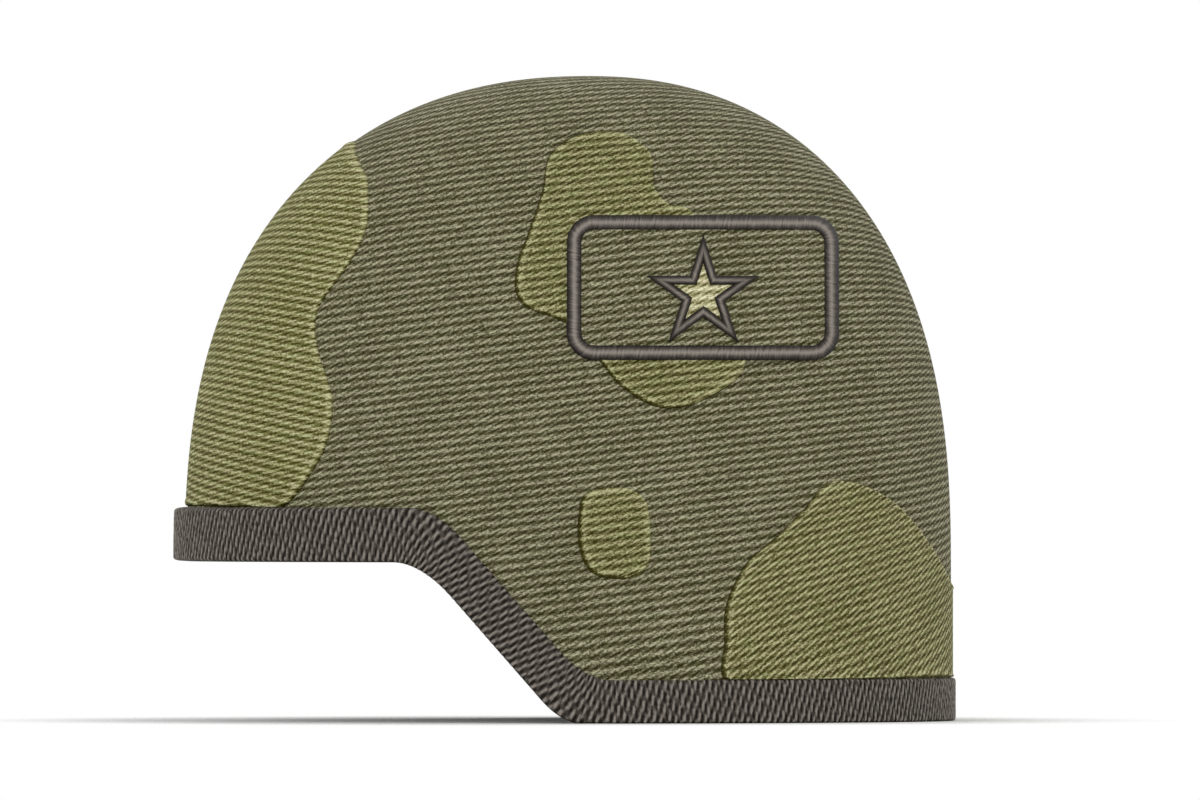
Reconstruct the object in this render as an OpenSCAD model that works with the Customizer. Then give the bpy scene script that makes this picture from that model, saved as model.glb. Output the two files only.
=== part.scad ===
// Ear-covering combat helmet with a camouflage cloth cover, standing on its rim.
// The brow points to -X, the wearer's left side to -Y, and +Z is up from the table.
// The origin lies on the table, halfway between the front and the rear of the edge band.

/* [Dome] */
// Reach of the cover from the dome's centre to the brow
front_reach = 131.3; // [130:0.1:133]
// Reach of the cover from the dome's centre to the nape
rear_reach = 118.6; // [117:0.1:120]
// Half of the cover's width between the ears
half_width = 108; // [107:0.5:110]
// Rise of the dome above its centre
dome_rise = 160.9; // [158:0.1:163]
// Height of the dome's centre above the table
dome_z = 49.8; // [49:0.1:51]
// How far the ear sections flare out at the rim
ear_flare = 8; // [6:0.5:9]

/* [Rim] */
// Height of the brow's lower edge above the table
brow_z = 52.1; // [51:0.1:53]
// Steepness of the rim between the brow and the ear
rim_slope = 1.15; // [1.1:0.01:1.2]
// Height of the edge band at the brow
band_front = 17.7; // [16:0.1:19]
// Height of the edge band at the nape
band_rear = 14; // [12:0.5:15]
// How far the edge band stands proud of the cover at the brow
proud_front = 4; // [3:0.5:5]
// How far the edge band stands proud of the cover at the nape
proud_rear = 1.2; // [1:0.1:1.5]

/* [Shell] */
// Thickness of the cloth cover
cover_thick = 1; // [0.8:0.1:1]
// Thickness of the moulded shell
shell_thick = 8.5; // [8:0.1:8.5]

/* [Suspension] */
// Gap between the shell and the suspension band
stand_off = 10.7; // [10:0.1:11]
// Height of the band's lower edge above the table
web_low = 69; // [69:1:72]
// Height of the suspension band
web_tall = 20; // [18:1:22]
// Thickness of the padded sweatband
sweat_thick = 5; // [4:0.5:6]

/* [Chinstrap] */
// Distance from the swing axis to the middle of the chin cup
strap_reach = 137; // [135:0.5:138]
// Width of the webbing
strap_w = 16; // [14:1:16]
// Slope of the stowed chinstrap below level, in degrees
stow_angle = 18.7; // [18.5:0.1:19]

/* [Badge] */
// Length of the badge on the left side
badge_w = 88.6; // [80:0.2:89]
// Height of the badge
badge_h = 47.2; // [44:0.2:48]
// Width of the raised cord round the badge
cord_w = 4.5; // [4:0.1:5]
// Reach of the outlined star's points
star_reach = 19.5; // [18:0.1:20]

/* [Hidden] */

$fn = 48;

// Dome: the side view's outline is two quarter ovals of these powers, and each level is an ellipse
dome_x = 7.75;
side_power = 2.22;
rise_power = 2.52;
flare_top = 70;
wall_rows = 13;
azimuths = concat([for (a = [0:6:54]) a], [for (a = [60:2:92]) a], [for (a = [98:6:176]) a]);
all_round = concat(azimuths, [180], [for (i = [len(azimuths) - 1:-1:1]) 360 - azimuths[i]]);

// Rim: level at the brow, sloping down to the ear, then flat on the table
low_start = -46.3;
high_start = -41.8;
low_bend = 10;
ear_bend = 7;
high_bend = 9;
foot_depth = 0.4;
low_end = low_start + brow_z / rim_slope;
high_end = high_start + (brow_z + band_front - band_rear) / rim_slope;
rim_lift = 2;

// Depths below the outside of the cover
skin_gap = 0.1;
shell_out = cover_thick + skin_gap;
shell_in = shell_out + shell_thick;
band_leg = 1.3;
web_out = shell_in + stand_off;
web_thick = 1.9;
strap_t = 1.2;
strap_out = web_out + web_thick + 0.25;
sweat_out = strap_out + strap_t + 0.3;

// Suspension fasteners, by angle round the dome from the brow
post_angles = [45, 135, 180, 225, 315];
post_z = 79;
head_r = 6;
head_t = 2;
head_depth = shell_out + 0.75;
bore_r = 2.1;
counterbore_r = 6.3;
clip_angles = [15, 70, 160, 200, 290, 345];
strap_end = 0.29;
drawcord_r = 1.6;
tail_gap = 2.3;
loop_set = 1.5;

// Chinstrap: both side screws lie on this axis, which runs across the helmet
pivot_x = -22;
pivot_z = 60;
pivot_r = 2.5;
pivot_play = 0.05;
plate_y = 86.4;
plate_t = 1.5;
plate_r = 8;
anchor_y = 84.9;
anchor_t = 1.2;
anchor_end = 44;
loop_y = 83.45;
loop_t = 1.5;
loop_start = 26;
loop_bend = 70;
slider_start = 34;
slider_end = 46;
slider_play = 0.3;
tab_turn = 6;
tab_l = 18;
tab_w = 13;
tab_t = 1.6;
tab_gap = 1.7;
tab_hinge = 9.2;

// Layers of cloth and thread on the cover
cloth_t = 0.5;
cloth_gap = 0.45;

// Badge
badge_x = 45.1;
badge_z = 141.3;
badge_corner = 9;
cord_rise = 1.3;
star_x = 45.15;
star_z = 139.1;
star_rise = 1.2;
star_inner = 10;
star_waist = 0.382;

// A ramp that starts at d = 0, with its corner eased over 2 r
function ease(d, r) = d <= -r ? 0 : d >= r ? d : (d + r) * (d + r) / (4 * r);

// Height of the edge band's lower and upper edges at x, and its foot before it is cut flat
function rim_low(x) =
    max(0, brow_z - rim_slope * (ease(x - low_start, low_bend) - ease(x - low_end, ear_bend)));
function rim_high(x) =
    brow_z + band_front - rim_slope * (ease(x - high_start, high_bend) - ease(x - high_end, high_bend));

function foot(low) = low - foot_depth * max(0, 1 - low / 2);

// Reach of the dome at an angle from the brow, its share at a height, and the flare at the ears
function reach(a) = cos(a) > 0 ? front_reach : rear_reach;
function share(z, d) =
    z <= dome_z ? 1
    : pow(max(0, 1 - pow(min(1, (z - dome_z) / (dome_rise - d)), rise_power)), 1 / side_power);
function flare(z) = z < flare_top ? ear_flare * pow((flare_top - z) / flare_top, 2) : 0;
function rim_x(a) = dome_x - reach(a) * cos(a);

// A point of the dome at angle a from the brow, height z and depth d below the cover's outside
function dome(a, z, d) = [
    dome_x - (reach(a) - d) * share(z, d) * cos(a),
    -(half_width - d + flare(z)) * share(z, d) * sin(a),
    z
];

// The same surface on the left side, straight in from the side view's point x, z
function left_side(x, z, d) =
    let (c = (dome_x - x) / (((x < dome_x ? front_reach : rear_reach) - d) * share(z, d)))
    [x, -(half_width - d + flare(z)) * share(z, d) * sqrt(max(0, 1 - c * c)), z];

// Outward direction of the level ellipse at angle a, as degrees from +X
function facing(a) = atan2(-sin(a) / half_width, -cos(a) / reach(a));

function backwards(p) = [for (i = [len(p) - 1:-1:0]) p[i]];

// Two triangles for a cell of a grid, and the faces of a closed ring of sections
function cell(p, q, r, s) = [[p, q, r], [p, r, s]];
function ring_faces(rings, sides) = [
    for (i = [0:rings - 1], j = [0:sides - 1])
        let (k = (i + 1) % rings, l = (j + 1) % sides)
        each cell(i * sides + j, i * sides + l, k * sides + l, k * sides + j)
];

// The faces of an open run of sections with flat ends
function run_faces(rings, sides) = concat(
    [for (i = [0:rings - 2], j = [0:sides - 1])
        let (l = (j + 1) % sides)
        each cell(i * sides + j, i * sides + l, (i + 1) * sides + l, (i + 1) * sides + j)],
    [[for (j = [sides - 1:-1:0]) j]],
    [[for (j = [0:sides - 1]) (rings - 1) * sides + j]]
);

// The faces of a lens of cloth or wall: points 0 and 1 are its middle outside and inside,
// then come the outer rows and the inner rows
function cap_faces(n, rows) =
    let (o = 2, q = 2 + n * rows, last = rows - 1)
    [for (i = [0:n - 1]) let (k = (i + 1) % n) each concat(
        [[0, o + k, o + i], [1, q + i, q + k]],
        [for (j = [0:1:rows - 2]) each concat(
            cell(o + j * n + i, o + j * n + k, o + (j + 1) * n + k, o + (j + 1) * n + i),
            cell(q + j * n + i, q + (j + 1) * n + i, q + (j + 1) * n + k, q + j * n + k)
        )],
        cell(o + last * n + i, o + last * n + k, q + last * n + k, q + last * n + i)
    )];

// A closed smooth outline through hand-placed points
function spline(a, b, c, d, t) =
    0.5 * (2 * b + (c - a) * t + (2 * a - 5 * b + 4 * c - d) * t * t + (3 * b - a - 3 * c + d) * t * t * t);
function smooth(p, steps) = [
    for (i = [0:len(p) - 1], s = [0:steps - 1])
        let (n = len(p))
        spline(p[(i + n - 1) % n], p[i], p[(i + 1) % n], p[(i + 2) % n], s / steps)
];

// Wall of the dome between two depths, down to a set height above the rim
module dome_wall(d_out, d_in, lift) {
    function row(d) =
        let (top = dome_z + dome_rise - d)
        [for (j = [1:wall_rows], a = all_round)
            let (low = rim_low(rim_x(a)) + lift)
            dome(a, top - (top - low) * pow(j / wall_rows, 2.1), d)];
    polyhedron(
        concat([[dome_x, 0, dome_z + dome_rise - d_out], [dome_x, 0, dome_z + dome_rise - d_in]],
            row(d_out), row(d_in)),
        cap_faces(len(all_round), wall_rows)
    );
}

// A level band swept round the dome: each point of the section is a depth and a height
module dome_ring(section, angles) {
    sides = len(section);
    polyhedron([for (a = angles, p = section) dome(a, p[1], p[0])], ring_faces(len(angles), sides));
}

// A patch of cloth on the cover, given by angle and height
module cloth_patch(middle, outline, rows, d_out, d_in) {
    function on_cover(p, d) =
        dome(p[0], max(p[1], rim_high(rim_x(p[0])) + 0.3), d);
    function layer(d) = [
        for (j = [1:rows], p = outline) on_cover(middle + (p - middle) * j / rows, d)
    ];
    polyhedron(
        concat([on_cover(middle, d_out), on_cover(middle, d_in)], layer(d_out), layer(d_in)),
        cap_faces(len(outline), rows)
    );
}

// A blob of camouflage, as a thin sewn-on patch
module camo(shade, middle, points, steps, rows = 4) {
    color(shade) cloth_patch(middle, smooth(points, steps), rows, -cloth_gap - cloth_t, -cloth_gap);
}

// Puts a fitting on the outside of the suspension band, with +X pointing straight out
module on_band(a, z) {
    p = dome(a, web_low, web_out);
    translate([p[0], p[1], z]) rotate([0, 0, facing(a)]) children();
}

// Distance from the band out to the seat of a suspension screw's head
function post_long(a) =
    let (v = dome(a, post_z, head_depth) - dome(a, web_low, web_out))
    v[0] * cos(facing(a)) + v[1] * sin(facing(a));

// A cylinder along +X
module rod(r, l) {
    rotate([0, 90, 0]) cylinder(r = r, h = l);
}

module screw_holes() {
    for (a = post_angles) on_band(a, post_z) translate([post_long(a), 0, 0]) {
        translate([-shell_thick - 4, 0, 0]) rod(bore_r, shell_thick + 8);
        translate([-head_t - 0.1, 0, 0]) rod(counterbore_r, 6);
    }
    for (side = [-1, 1]) chinstrap_axis(side) {
        translate([0, 0, 80]) cylinder(r = pivot_r + pivot_play, h = 40);
        translate([0, 0, head_y()]) cylinder(r = counterbore_r, h = 20);
    }
}

// The chinstrap screw's axis on one side, with +Z pointing outwards
module chinstrap_axis(side) {
    translate([pivot_x, 0, pivot_z]) rotate([-90 * side, 0, 0]) children();
}

// Distance from the middle plane to the seat of the chinstrap screw's head
function head_y() = -left_side(pivot_x, pivot_z, head_depth)[1] - head_t - 1.4;

module helmet_shell() {
    color("#3b3f2c") difference() {
        dome_wall(shell_out, shell_in, rim_lift + 0.3);
        screw_holes();
    }
}

module camouflage_cover() {
    color("#6d6a52") dome_wall(0, cover_thick, rim_lift);
}

// A channel that wraps the rim: its outer leg covers the cover's hem, its inner leg the shell
module edge_band() {
    function proud(a) = proud_rear + (proud_front - proud_rear) * pow(max(0, cos(a)), 2);
    function section(a) =
        let (x = rim_x(a), low = rim_low(x), high = rim_high(x), out = -proud(a), gap = 0.15, hem = -0.4)
        [
            [hem, low + rim_lift - gap], [shell_in + gap, low + rim_lift - gap],
            [shell_in + gap, low + 10], [shell_in + band_leg, low + 10],
            [shell_in + band_leg, low + 1], [shell_in + band_leg - 1, foot(low)],
            [out + 1, foot(low)], [out, low + 1.5], [out, high - 1.5], [out * 0.5, high], [hem, high]
        ];
    sides = len(section(0));
    color("#524d47") difference() {
        polyhedron(
            [for (a = all_round, p = section(a)) dome(a, p[1], p[0])],
            ring_faces(len(all_round), sides)
        );
        translate([-150, -150, -10]) cube([300, 300, 10]);
    }
}

module camo_front() {
    camo("#7c7a52", [4, 122], [
        [-12, 70], [-1, 70], [10, 70], [20, 70], [31, 70], [41, 70], [47.5, 84], [49.5, 95],
        [49, 107], [44.5, 122], [42.5, 134], [45.5, 146], [47, 156], [45.5, 165], [40, 175],
        [34, 180], [26, 184], [18, 187], [10, 189], [-1, 189.5], [-12, 188], [-22, 184], [-30, 178],
        [-39, 160], [-37, 142], [-43, 122], [-40, 98], [-33, 88], [-22, 76]
    ], 2, 7);
}

// This blob runs on behind the badge, so it is cut away there
module camo_upper() {
    difference() {
        whole_camo_upper();
        badge_prism(0.3);
    }
}

module whole_camo_upper() {
    camo("#787650", [97, 148], [
        [102.5, 102], [110.5, 106], [117, 117], [116, 141], [112, 165], [107, 168.5], [104.5, 175],
        [105.5, 186], [99, 192], [88, 191.5], [81.5, 185], [81, 173], [79.5, 160], [78, 147],
        [79.5, 136], [87, 129], [92, 117], [96, 108]
    ], 2);
}

module camo_small() {
    camo("#787650", [94.2, 61.5], [
        [94, 46.8], [97.6, 47.5], [99.6, 52], [99.8, 61.5], [99.3, 71], [97, 75.6], [92.8, 76.4],
        [89.5, 74], [88.6, 67], [88.7, 57], [90.3, 49.2]
    ], 3, 2);
}

module camo_rear() {
    camo("#756f4d", [160, 36], [
        [112, 14], [121, 14], [130, 14], [142, 14], [155, 14], [168, 14], [180, 14], [193, 14],
        [205, 14], [214, 15.5], [222, 18], [227, 30], [222, 40],
        [212, 42.5], [200, 42.5], [186, 43], [172.6, 46], [160, 57.5], [146.5, 72], [137, 78],
        [131, 77.6], [126, 69], [120, 59], [115.6, 52], [112.2, 39], [111.8, 26]
    ], 2, 9);
}

module camo_right_brow() {
    camo("#7c7a52", [285, 126], [
        [288, 98], [296, 106], [301, 122], [296, 136], [298, 150], [290, 160], [281, 155], [277, 140],
        [270, 128], [271, 112], [279, 103]
    ], 2);
}

module camo_right_ear() {
    camo("#756f4d", [262, 55], [
        [262, 26], [272, 33], [277, 48], [272, 60], [275, 74], [266, 82], [256, 76], [253, 62], [247, 50],
        [250, 34]
    ], 2);
}

module camo_right_crown() {
    camo("#787650", [240, 158], [
        [238, 126], [249, 134], [252, 150], [261, 162], [262, 178], [249, 188], [234, 184], [226, 170],
        [224, 150], [228, 134]
    ], 2);
}

// The badge's outline carried straight in from the left side, with a margin all round
module badge_prism(margin) {
    translate([badge_x, 0, badge_z]) rotate([90, 0, 0]) linear_extrude(200) hull()
        for (x = [-1, 1], z = [-1, 1])
            translate([x * (badge_w / 2 - badge_corner), z * (badge_h / 2 - badge_corner)])
                circle(r = badge_corner + margin);
}

// A rounded rectangle's outline, anticlockwise, with points set along its straights
function badge_outline(w, h, r, arc_steps, long_steps, short_steps) =
    let (cx = w / 2 - r, cz = h / 2 - r)
    [for (q = [0:3])
        let (
            sx = q == 0 || q == 3 ? 1 : -1, sz = q < 2 ? 1 : -1,
            steps = q % 2 == 0 ? long_steps : short_steps,
            span = q % 2 == 0 ? 2 * cx : 2 * cz,
            along = [-sin(90 * q + 90), cos(90 * q + 90)],
            corner = [badge_x + sx * cx, badge_z + sz * cz]
        )
        each concat(
            [for (s = [0:arc_steps])
                let (t = 90 * (q + s / arc_steps)) concat(corner + r * [cos(t), sin(t)], [t])],
            [for (s = [1:steps - 1])
                let (t = 90 * (q + 1))
                concat(corner + r * [cos(t), sin(t)] + along * span * s / steps, [t])]
        )];

module badge_ground() {
    rows = 3;
    edge = 2 * cord_w + 0.2;
    middle = [badge_x, badge_z];
    outline = badge_outline(badge_w - edge, badge_h - edge, badge_corner - cord_w, 4, 8, 5);
    function layer(d) = [
        for (j = [1:rows], p = outline)
            let (q = middle + ([p[0], p[1]] - middle) * j / rows) left_side(q[0], q[1], d)
    ];
    top = -cloth_gap - cloth_t;
    color("#6f6c53") polyhedron(
        concat(
            [left_side(badge_x, badge_z, top), left_side(badge_x, badge_z, -cloth_gap)],
            layer(top), layer(-cloth_gap)
        ),
        cap_faces(len(outline), rows)
    );
}

// A raised satin cord: its section is a low arch of the given half width and rise
module badge_border() {
    outline = badge_outline(badge_w - cord_w, badge_h - cord_w, badge_corner - cord_w / 2, 4, 10, 6);
    arch = [[1, 0], [0.8, 0.6], [0, 1], [-0.8, 0.6], [-1, 0]];
    base = -cloth_gap;
    color("#5f5953") polyhedron(
        [for (p = outline, q = arch)
            left_side(p[0] + q[0] * cord_w / 2 * cos(p[2]), p[1] + q[0] * cord_w / 2 * sin(p[2]),
                base - q[1] * cord_rise)],
        ring_faces(len(outline), len(arch))
    );
}

// A star's corner k out of 10 at a reach, with every other corner at the waist
function star_point(k, r) =
    let (rr = k % 2 == 0 ? r : r * star_waist, t = 90 + 36 * k)
        [star_x + rr * cos(t), star_z + rr * sin(t)];
function star_line(r, steps) = [
    for (k = [0:9], s = [0:steps - 1])
        let (p = star_point(k, r), q = star_point(k + 1, r)) p + (q - p) * s / steps
];

module star_outline() {
    steps = 4;
    outer = star_line(star_reach, steps);
    inner = star_line(star_inner, steps);
    base = -cloth_t - 2 * cloth_gap;
    section = [[0, 0], [0.1, 0.6], [0.5, 1], [0.9, 0.6], [1, 0]];
    color("#5f5953") polyhedron(
        [for (i = [0:len(outer) - 1], s = section)
            let (p = outer[i] + (inner[i] - outer[i]) * s[0])
            left_side(p[0], p[1], base - s[1] * star_rise)],
        ring_faces(len(outer), len(section))
    );
}

module star_centre() {
    outline = star_line(star_inner - 0.15, 2);
    base = -cloth_t - 2 * cloth_gap;
    top = base - cloth_t;
    color("#aca87f") polyhedron(
        concat(
            [left_side(star_x, star_z, top), left_side(star_x, star_z, base)],
            [for (p = outline) left_side(p[0], p[1], top)],
            [for (p = outline) left_side(p[0], p[1], base)]
        ),
        cap_faces(len(outline), 1)
    );
}

module suspension_screws() {
    color("#2f3129") for (a = post_angles) on_band(a, post_z) translate([post_long(a), 0, 0]) difference() {
        union() {
            translate([-head_t, 0, 0]) rod(head_r, head_t);
            translate([-shell_thick - 6, 0, 0]) rod(2, shell_thick + 5);
        }
        translate([-0.8, -4.5, -0.6]) cube([2, 9, 1.2]);
    }
}

module suspension_posts() {
    seat = 0.35;
    flange_t = 0.8;
    flange = -web_thick - seat - flange_t;
    bore_from = 2;
    color("#8b8d88") for (a = post_angles) on_band(a, post_z) difference() {
        union() {
            translate([seat, 0, 0]) rod(4.9, post_long(a) - shell_in + head_depth - 0.6 - seat);
            translate([flange, 0, 0]) rod(3, seat + 0.1 - flange);
            translate([flange, 0, 0]) rod(5.5, flange_t);
        }
        translate([bore_from, 0, 0]) rod(2.05, stand_off);
    }
}

// A level ring of even height between two depths
module level_ring(d_out, d_in, z, tall) {
    function loop(d) = [for (a = [0:5:355]) let (p = dome(a, z, d)) [p[0], p[1]]];
    translate([0, 0, z]) linear_extrude(tall) difference() {
        polygon(loop(d_out));
        polygon(loop(d_in));
    }
}

module suspension_band() {
    color("#5b5d3f") difference() {
        level_ring(web_out, web_out + web_thick, web_low, web_tall);
        for (a = post_angles) on_band(a, post_z) translate([-5, 0, 0]) rod(3.1, 10);
    }
}

// One strap from the band up to the crown, with a sewn loop for the drawcord at its end
module crown_strap(a) {
    rows = 10;
    z_top = crown_z();
    function per_degree(z) = norm(dome(a + 1, z, strap_out) - dome(a - 1, z, strap_out)) / 2;
    function section(j) =
        let (
            t = j / rows, z = z_top - (z_top - web_low - 2) * pow(1 - t, 2),
            turn = (9 - 4 * pow(t, 3)) / per_degree(z)
        )
        concat(
            [for (s = [-1:1]) dome(a + s * turn, z, strap_out + strap_t)],
            [for (s = [1:-1:-1]) dome(a + s * turn, z, strap_out)]
        );
    difference() {
        union() {
            polyhedron([for (j = [0:rows], p = section(j)) p], run_faces(rows + 1, 6));
            at_loop(a) cylinder(r = 3.3, h = 10, center = true);
        }
        at_loop(a) cylinder(r = 2.4, h = 16, center = true);
    }
}

// The middle of a strap's loop, with +Z along the drawcord
module at_loop(a) {
    translate(cord_at(a)) rotate([0, 0, facing(a)]) rotate([90, 0, 0]) children();
}

// Height at which the crown straps end
function crown_z() =
    dome_z + (dome_rise - strap_out) * pow(1 - pow(strap_end, side_power), 1 / rise_power);

module front_crown_straps() {
    color("#5b5d3f") for (a = [30, 330]) crown_strap(a);
}

module side_crown_straps() {
    color("#5b5d3f") for (a = [90, 270]) crown_strap(a);
}

module rear_crown_straps() {
    color("#5b5d3f") for (a = [150, 210]) crown_strap(a);
}

// Middle of the drawcord at an angle, through the straps' loops
function cord_at(a) =
    let (p = dome(a, crown_z(), strap_out + strap_t / 2), f = facing(a))
    p - loop_set * [cos(f), sin(f), 0];

// The drawcord goes round the crown, and both its ends turn back into the cord lock
module crown_drawcord() {
    sides = 8;
    turn_r = 4;
    z = crown_z();
    turn_x = cord_at(180)[0] + turn_r - 0.3;
    function tail(side) = concat(
        [for (x = [14, 7]) [turn_x + x, side * tail_gap, z]],
        [for (t = [0:22.5:90]) [turn_x - turn_r * sin(t), side * (tail_gap + turn_r - turn_r * cos(t)), z]]
    );
    path = concat(tail(1), [for (a = [200:11.5:522]) cord_at(a)], backwards(tail(-1)));
    n = len(path);
    function along(i) = let (v = path[min(n - 1, i + 1)] - path[max(0, i - 1)]) v / norm(v);
    color("#3f412e") polyhedron(
        [for (i = [0:n - 1], s = [sides - 1:-1:0])
            let (t = along(i), side = [-t[1], t[0], 0], u = 360 * s / sides)
            path[i] + drawcord_r * (cos(u) * side + sin(u) * [0, 0, 1])],
        run_faces(n, sides)
    );
}

module cord_lock() {
    long = 10;
    color("#23241f") translate([cord_at(180)[0] + 5.5, 0, crown_z()]) difference() {
        union() {
            for (y = [-tail_gap, tail_gap]) translate([0, y, 0]) rod(3.4, long);
            translate([0, -tail_gap, -3.4]) cube([long, 2 * tail_gap, 6.8]);
        }
        for (y = [-tail_gap, tail_gap]) translate([-1, y, 0]) rod(drawcord_r + 0.1, long + 2);
    }
}

// A padded ring with a crowned inner face and rolled edges
module sweatband() {
    low = web_low + 0.5;
    high = web_low + web_tall + 3;
    middle = (low + high) / 2;
    color("#5a4632") dome_ring([
        [sweat_out, low + 2.5], [sweat_out, high - 2.5], [sweat_out + 1.2, high],
        [sweat_out + sweat_thick - 1.8, high - 1.2], [sweat_out + sweat_thick - 0.5, high - 6],
        [sweat_out + sweat_thick, middle], [sweat_out + sweat_thick - 0.5, low + 6],
        [sweat_out + sweat_thick - 1.8, low + 1.2], [sweat_out + 1.2, low]
    ], [for (a = [0:8:352]) a]);
}

module sweatband_clips() {
    top = web_low + web_tall + 3.4;
    deep = sweat_out + sweat_thick - web_out + 2.6;
    wire_t = 0.8;
    color("#8b8d88") for (a = clip_angles) on_band(a, top) translate([0, -4, 0]) {
        translate([0.35, 0, -13]) cube([wire_t, 8, 13 + wire_t]);
        translate([-deep, 0, 0]) cube([deep + 0.5, 8, wire_t]);
        translate([-deep, 0, -9]) cube([wire_t, 8, 9 + wire_t]);
    }
}

// A foam pad on the shell's inside at the nape, crowned towards the head
module nape_pad() {
    n = 20;
    rows = 4;
    half_angle = 19;
    half_tall = 13;
    middle = [180, 55];
    function edge(k) =
        let (t = 360 * k / n, p = 2 / 5)
        [half_angle * sign(cos(t)) * pow(abs(cos(t)), p), half_tall * sign(sin(t)) * pow(abs(sin(t)), p)];
    function layer(inside) = [
        for (j = [1:rows], k = [0:n - 1])
            let (q = middle + edge(k) * j / rows, crown = 6 + 3 * sqrt(1 - pow(j / rows, 2)))
            dome(q[0], q[1], shell_in + (inside ? crown : 0.2))
    ];
    color("#4a4a3a") polyhedron(
        concat([dome(180, 55, shell_in + 0.2), dome(180, 55, shell_in + 9)], layer(false), layer(true)),
        cap_faces(n, rows)
    );
}

module chinstrap_screws() {
    color("#2f3129") for (side = [-1, 1]) chinstrap_axis(side) difference() {
        union() {
            translate([0, 0, plate_y - 3.4]) cylinder(r = pivot_r, h = head_y() - plate_y + 3.5);
            translate([0, 0, head_y()]) cylinder(r = head_r, h = head_t);
        }
        translate([-4.5, -0.6, head_y() + head_t - 0.8]) cube([9, 1.2, 2]);
    }
}

// A sleeve from the anchor plate to the shell, cut to the wall's slant
module chinstrap_spacers() {
    wall_y = -left_side(pivot_x, pivot_z, shell_in)[1];
    slant = 11.5;
    lean = 2.5;
    color("#23241f") for (side = [-1, 1]) chinstrap_axis(side) difference() {
        cylinder(r = 6, h = wall_y + 3);
        translate([0, 0, -1]) cylinder(r = pivot_r + pivot_play, h = wall_y + 6);
        translate([-10, -10, -1]) cube([20, 20, plate_y + plate_t + 1.15]);
        translate([0, 0, wall_y - 0.35]) rotate([side * lean, -slant, 0])
            translate([-15, -15, 0]) cube([30, 30, 20]);
    }
}

module chinstrap_nuts() {
    color("#8b8d88") for (side = [-1, 1]) chinstrap_axis(side) difference() {
        translate([0, 0, plate_y - 3.2]) cylinder(r = 5, h = 3.05, $fn = 6);
        translate([0, 0, plate_y - 4]) cylinder(r = pivot_r + 0.02, h = 5);
    }
}

// The stowed chinstrap's own frame: +X along the strap from the swing axis, +Z across its width
module stowed() {
    translate([pivot_x, 0, pivot_z]) rotate([0, stow_angle, 0]) children();
}

// A flat plate in the strap's frame: its outline is in X and Z, and it lies from y to y + t
module upright_plate(side, y, t) {
    stowed() translate([0, side > 0 ? y + t : -y, 0]) rotate([90, 0, 0]) linear_extrude(t) children();
}

module anchor_plate(side) {
    color("#8b8d88") difference() {
        upright_plate(side, plate_y, plate_t) difference() {
            union() {
                circle(r = plate_r);
                translate([0, -plate_r]) square([10, 2 * plate_r]);
                translate([8, -11]) square([8, 22]);
            }
            translate([10, -8.2]) square([3, 16.4]);
        }
        stowed() rotate([90 * side, 0, 0]) translate([0, 0, -100])
            cylinder(r = pivot_r + pivot_play, h = 40);
    }
}

module left_anchor_plate() {
    anchor_plate(-1);
}

module right_anchor_plate() {
    anchor_plate(1);
}

// Webbing folded round the plate's bar and sewn back on itself
module anchor_strap(side) {
    fold_y = plate_y + plate_t + 0.3 + anchor_t;
    color("#5b5d3f") stowed() mirror([0, side > 0 ? 0 : 1, 0])
        translate([0, 0, -strap_w / 2]) linear_extrude(strap_w) difference() {
            polygon([
                [10.8, anchor_y], [anchor_end, anchor_y], [anchor_end, anchor_y + anchor_t],
                [27, anchor_y + anchor_t], [20, fold_y], [11.4, fold_y], [10.8, fold_y - 0.6]
            ]);
            polygon([
                [12, anchor_y + anchor_t], [19, anchor_y + anchor_t], [17, fold_y - anchor_t],
                [12, fold_y - anchor_t]
            ]);
        }
}

module left_anchor_strap() {
    anchor_strap(-1);
}

module right_anchor_strap() {
    anchor_strap(1);
}

// A two-slot slider: the anchor strap ends in its outer slot, the loop runs through its inner slot
module slider(side) {
    tall = strap_w + 6;
    low = loop_y - loop_t / 2 - slider_play - 1.6;
    high = anchor_y + anchor_t + 1.3;
    slot_w = strap_w + 0.6;
    long = slider_end - slider_start;
    color("#23241f") stowed() mirror([0, side > 0 ? 0 : 1, 0]) translate([slider_start, 0, 0])
    difference() {
        translate([0, low, -tall / 2]) cube([long, high - low, tall]);
        translate([-1, loop_y - loop_t / 2 - slider_play, -slot_w / 2])
            cube([long + 2, loop_t + 2 * slider_play, slot_w]);
        translate([-1, anchor_y, -strap_w / 2]) cube([anchor_end - slider_start + 1, anchor_t, strap_w]);
        for (x = [2.2, 7]) translate([x, low - 1, -slot_w / 2]) cube([2.8, 2, slot_w]);
    }
}

module left_slider() {
    slider(-1);
}

module right_slider() {
    slider(1);
}

// The loop's bend in the swing plane, offset outwards by o, between two angles from the right arm
function loop_arc(o, from, to) = [
    for (t = [from:6:to]) [loop_bend + (strap_reach - loop_bend + o) * sin(t), (loop_y + o) * cos(t)]
];
function loop_line(o) =
    concat([[loop_start, loop_y + o]], loop_arc(o, 0, 180), [[loop_start, -loop_y - o]]);
// The webbing that runs from one slider round under the chin to the other, with the snap tab's root
module chinstrap_loop() {
    color("#5b5d3f") {
        stowed() translate([0, 0, -strap_w / 2]) linear_extrude(strap_w)
            polygon(concat(loop_line(loop_t / 2), backwards(loop_line(-loop_t / 2))));
        at_tab() translate([tab_hinge + 0.2, 0.8, -tab_w / 2]) cube([4, 0.8, tab_w]);
    }
}

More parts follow.
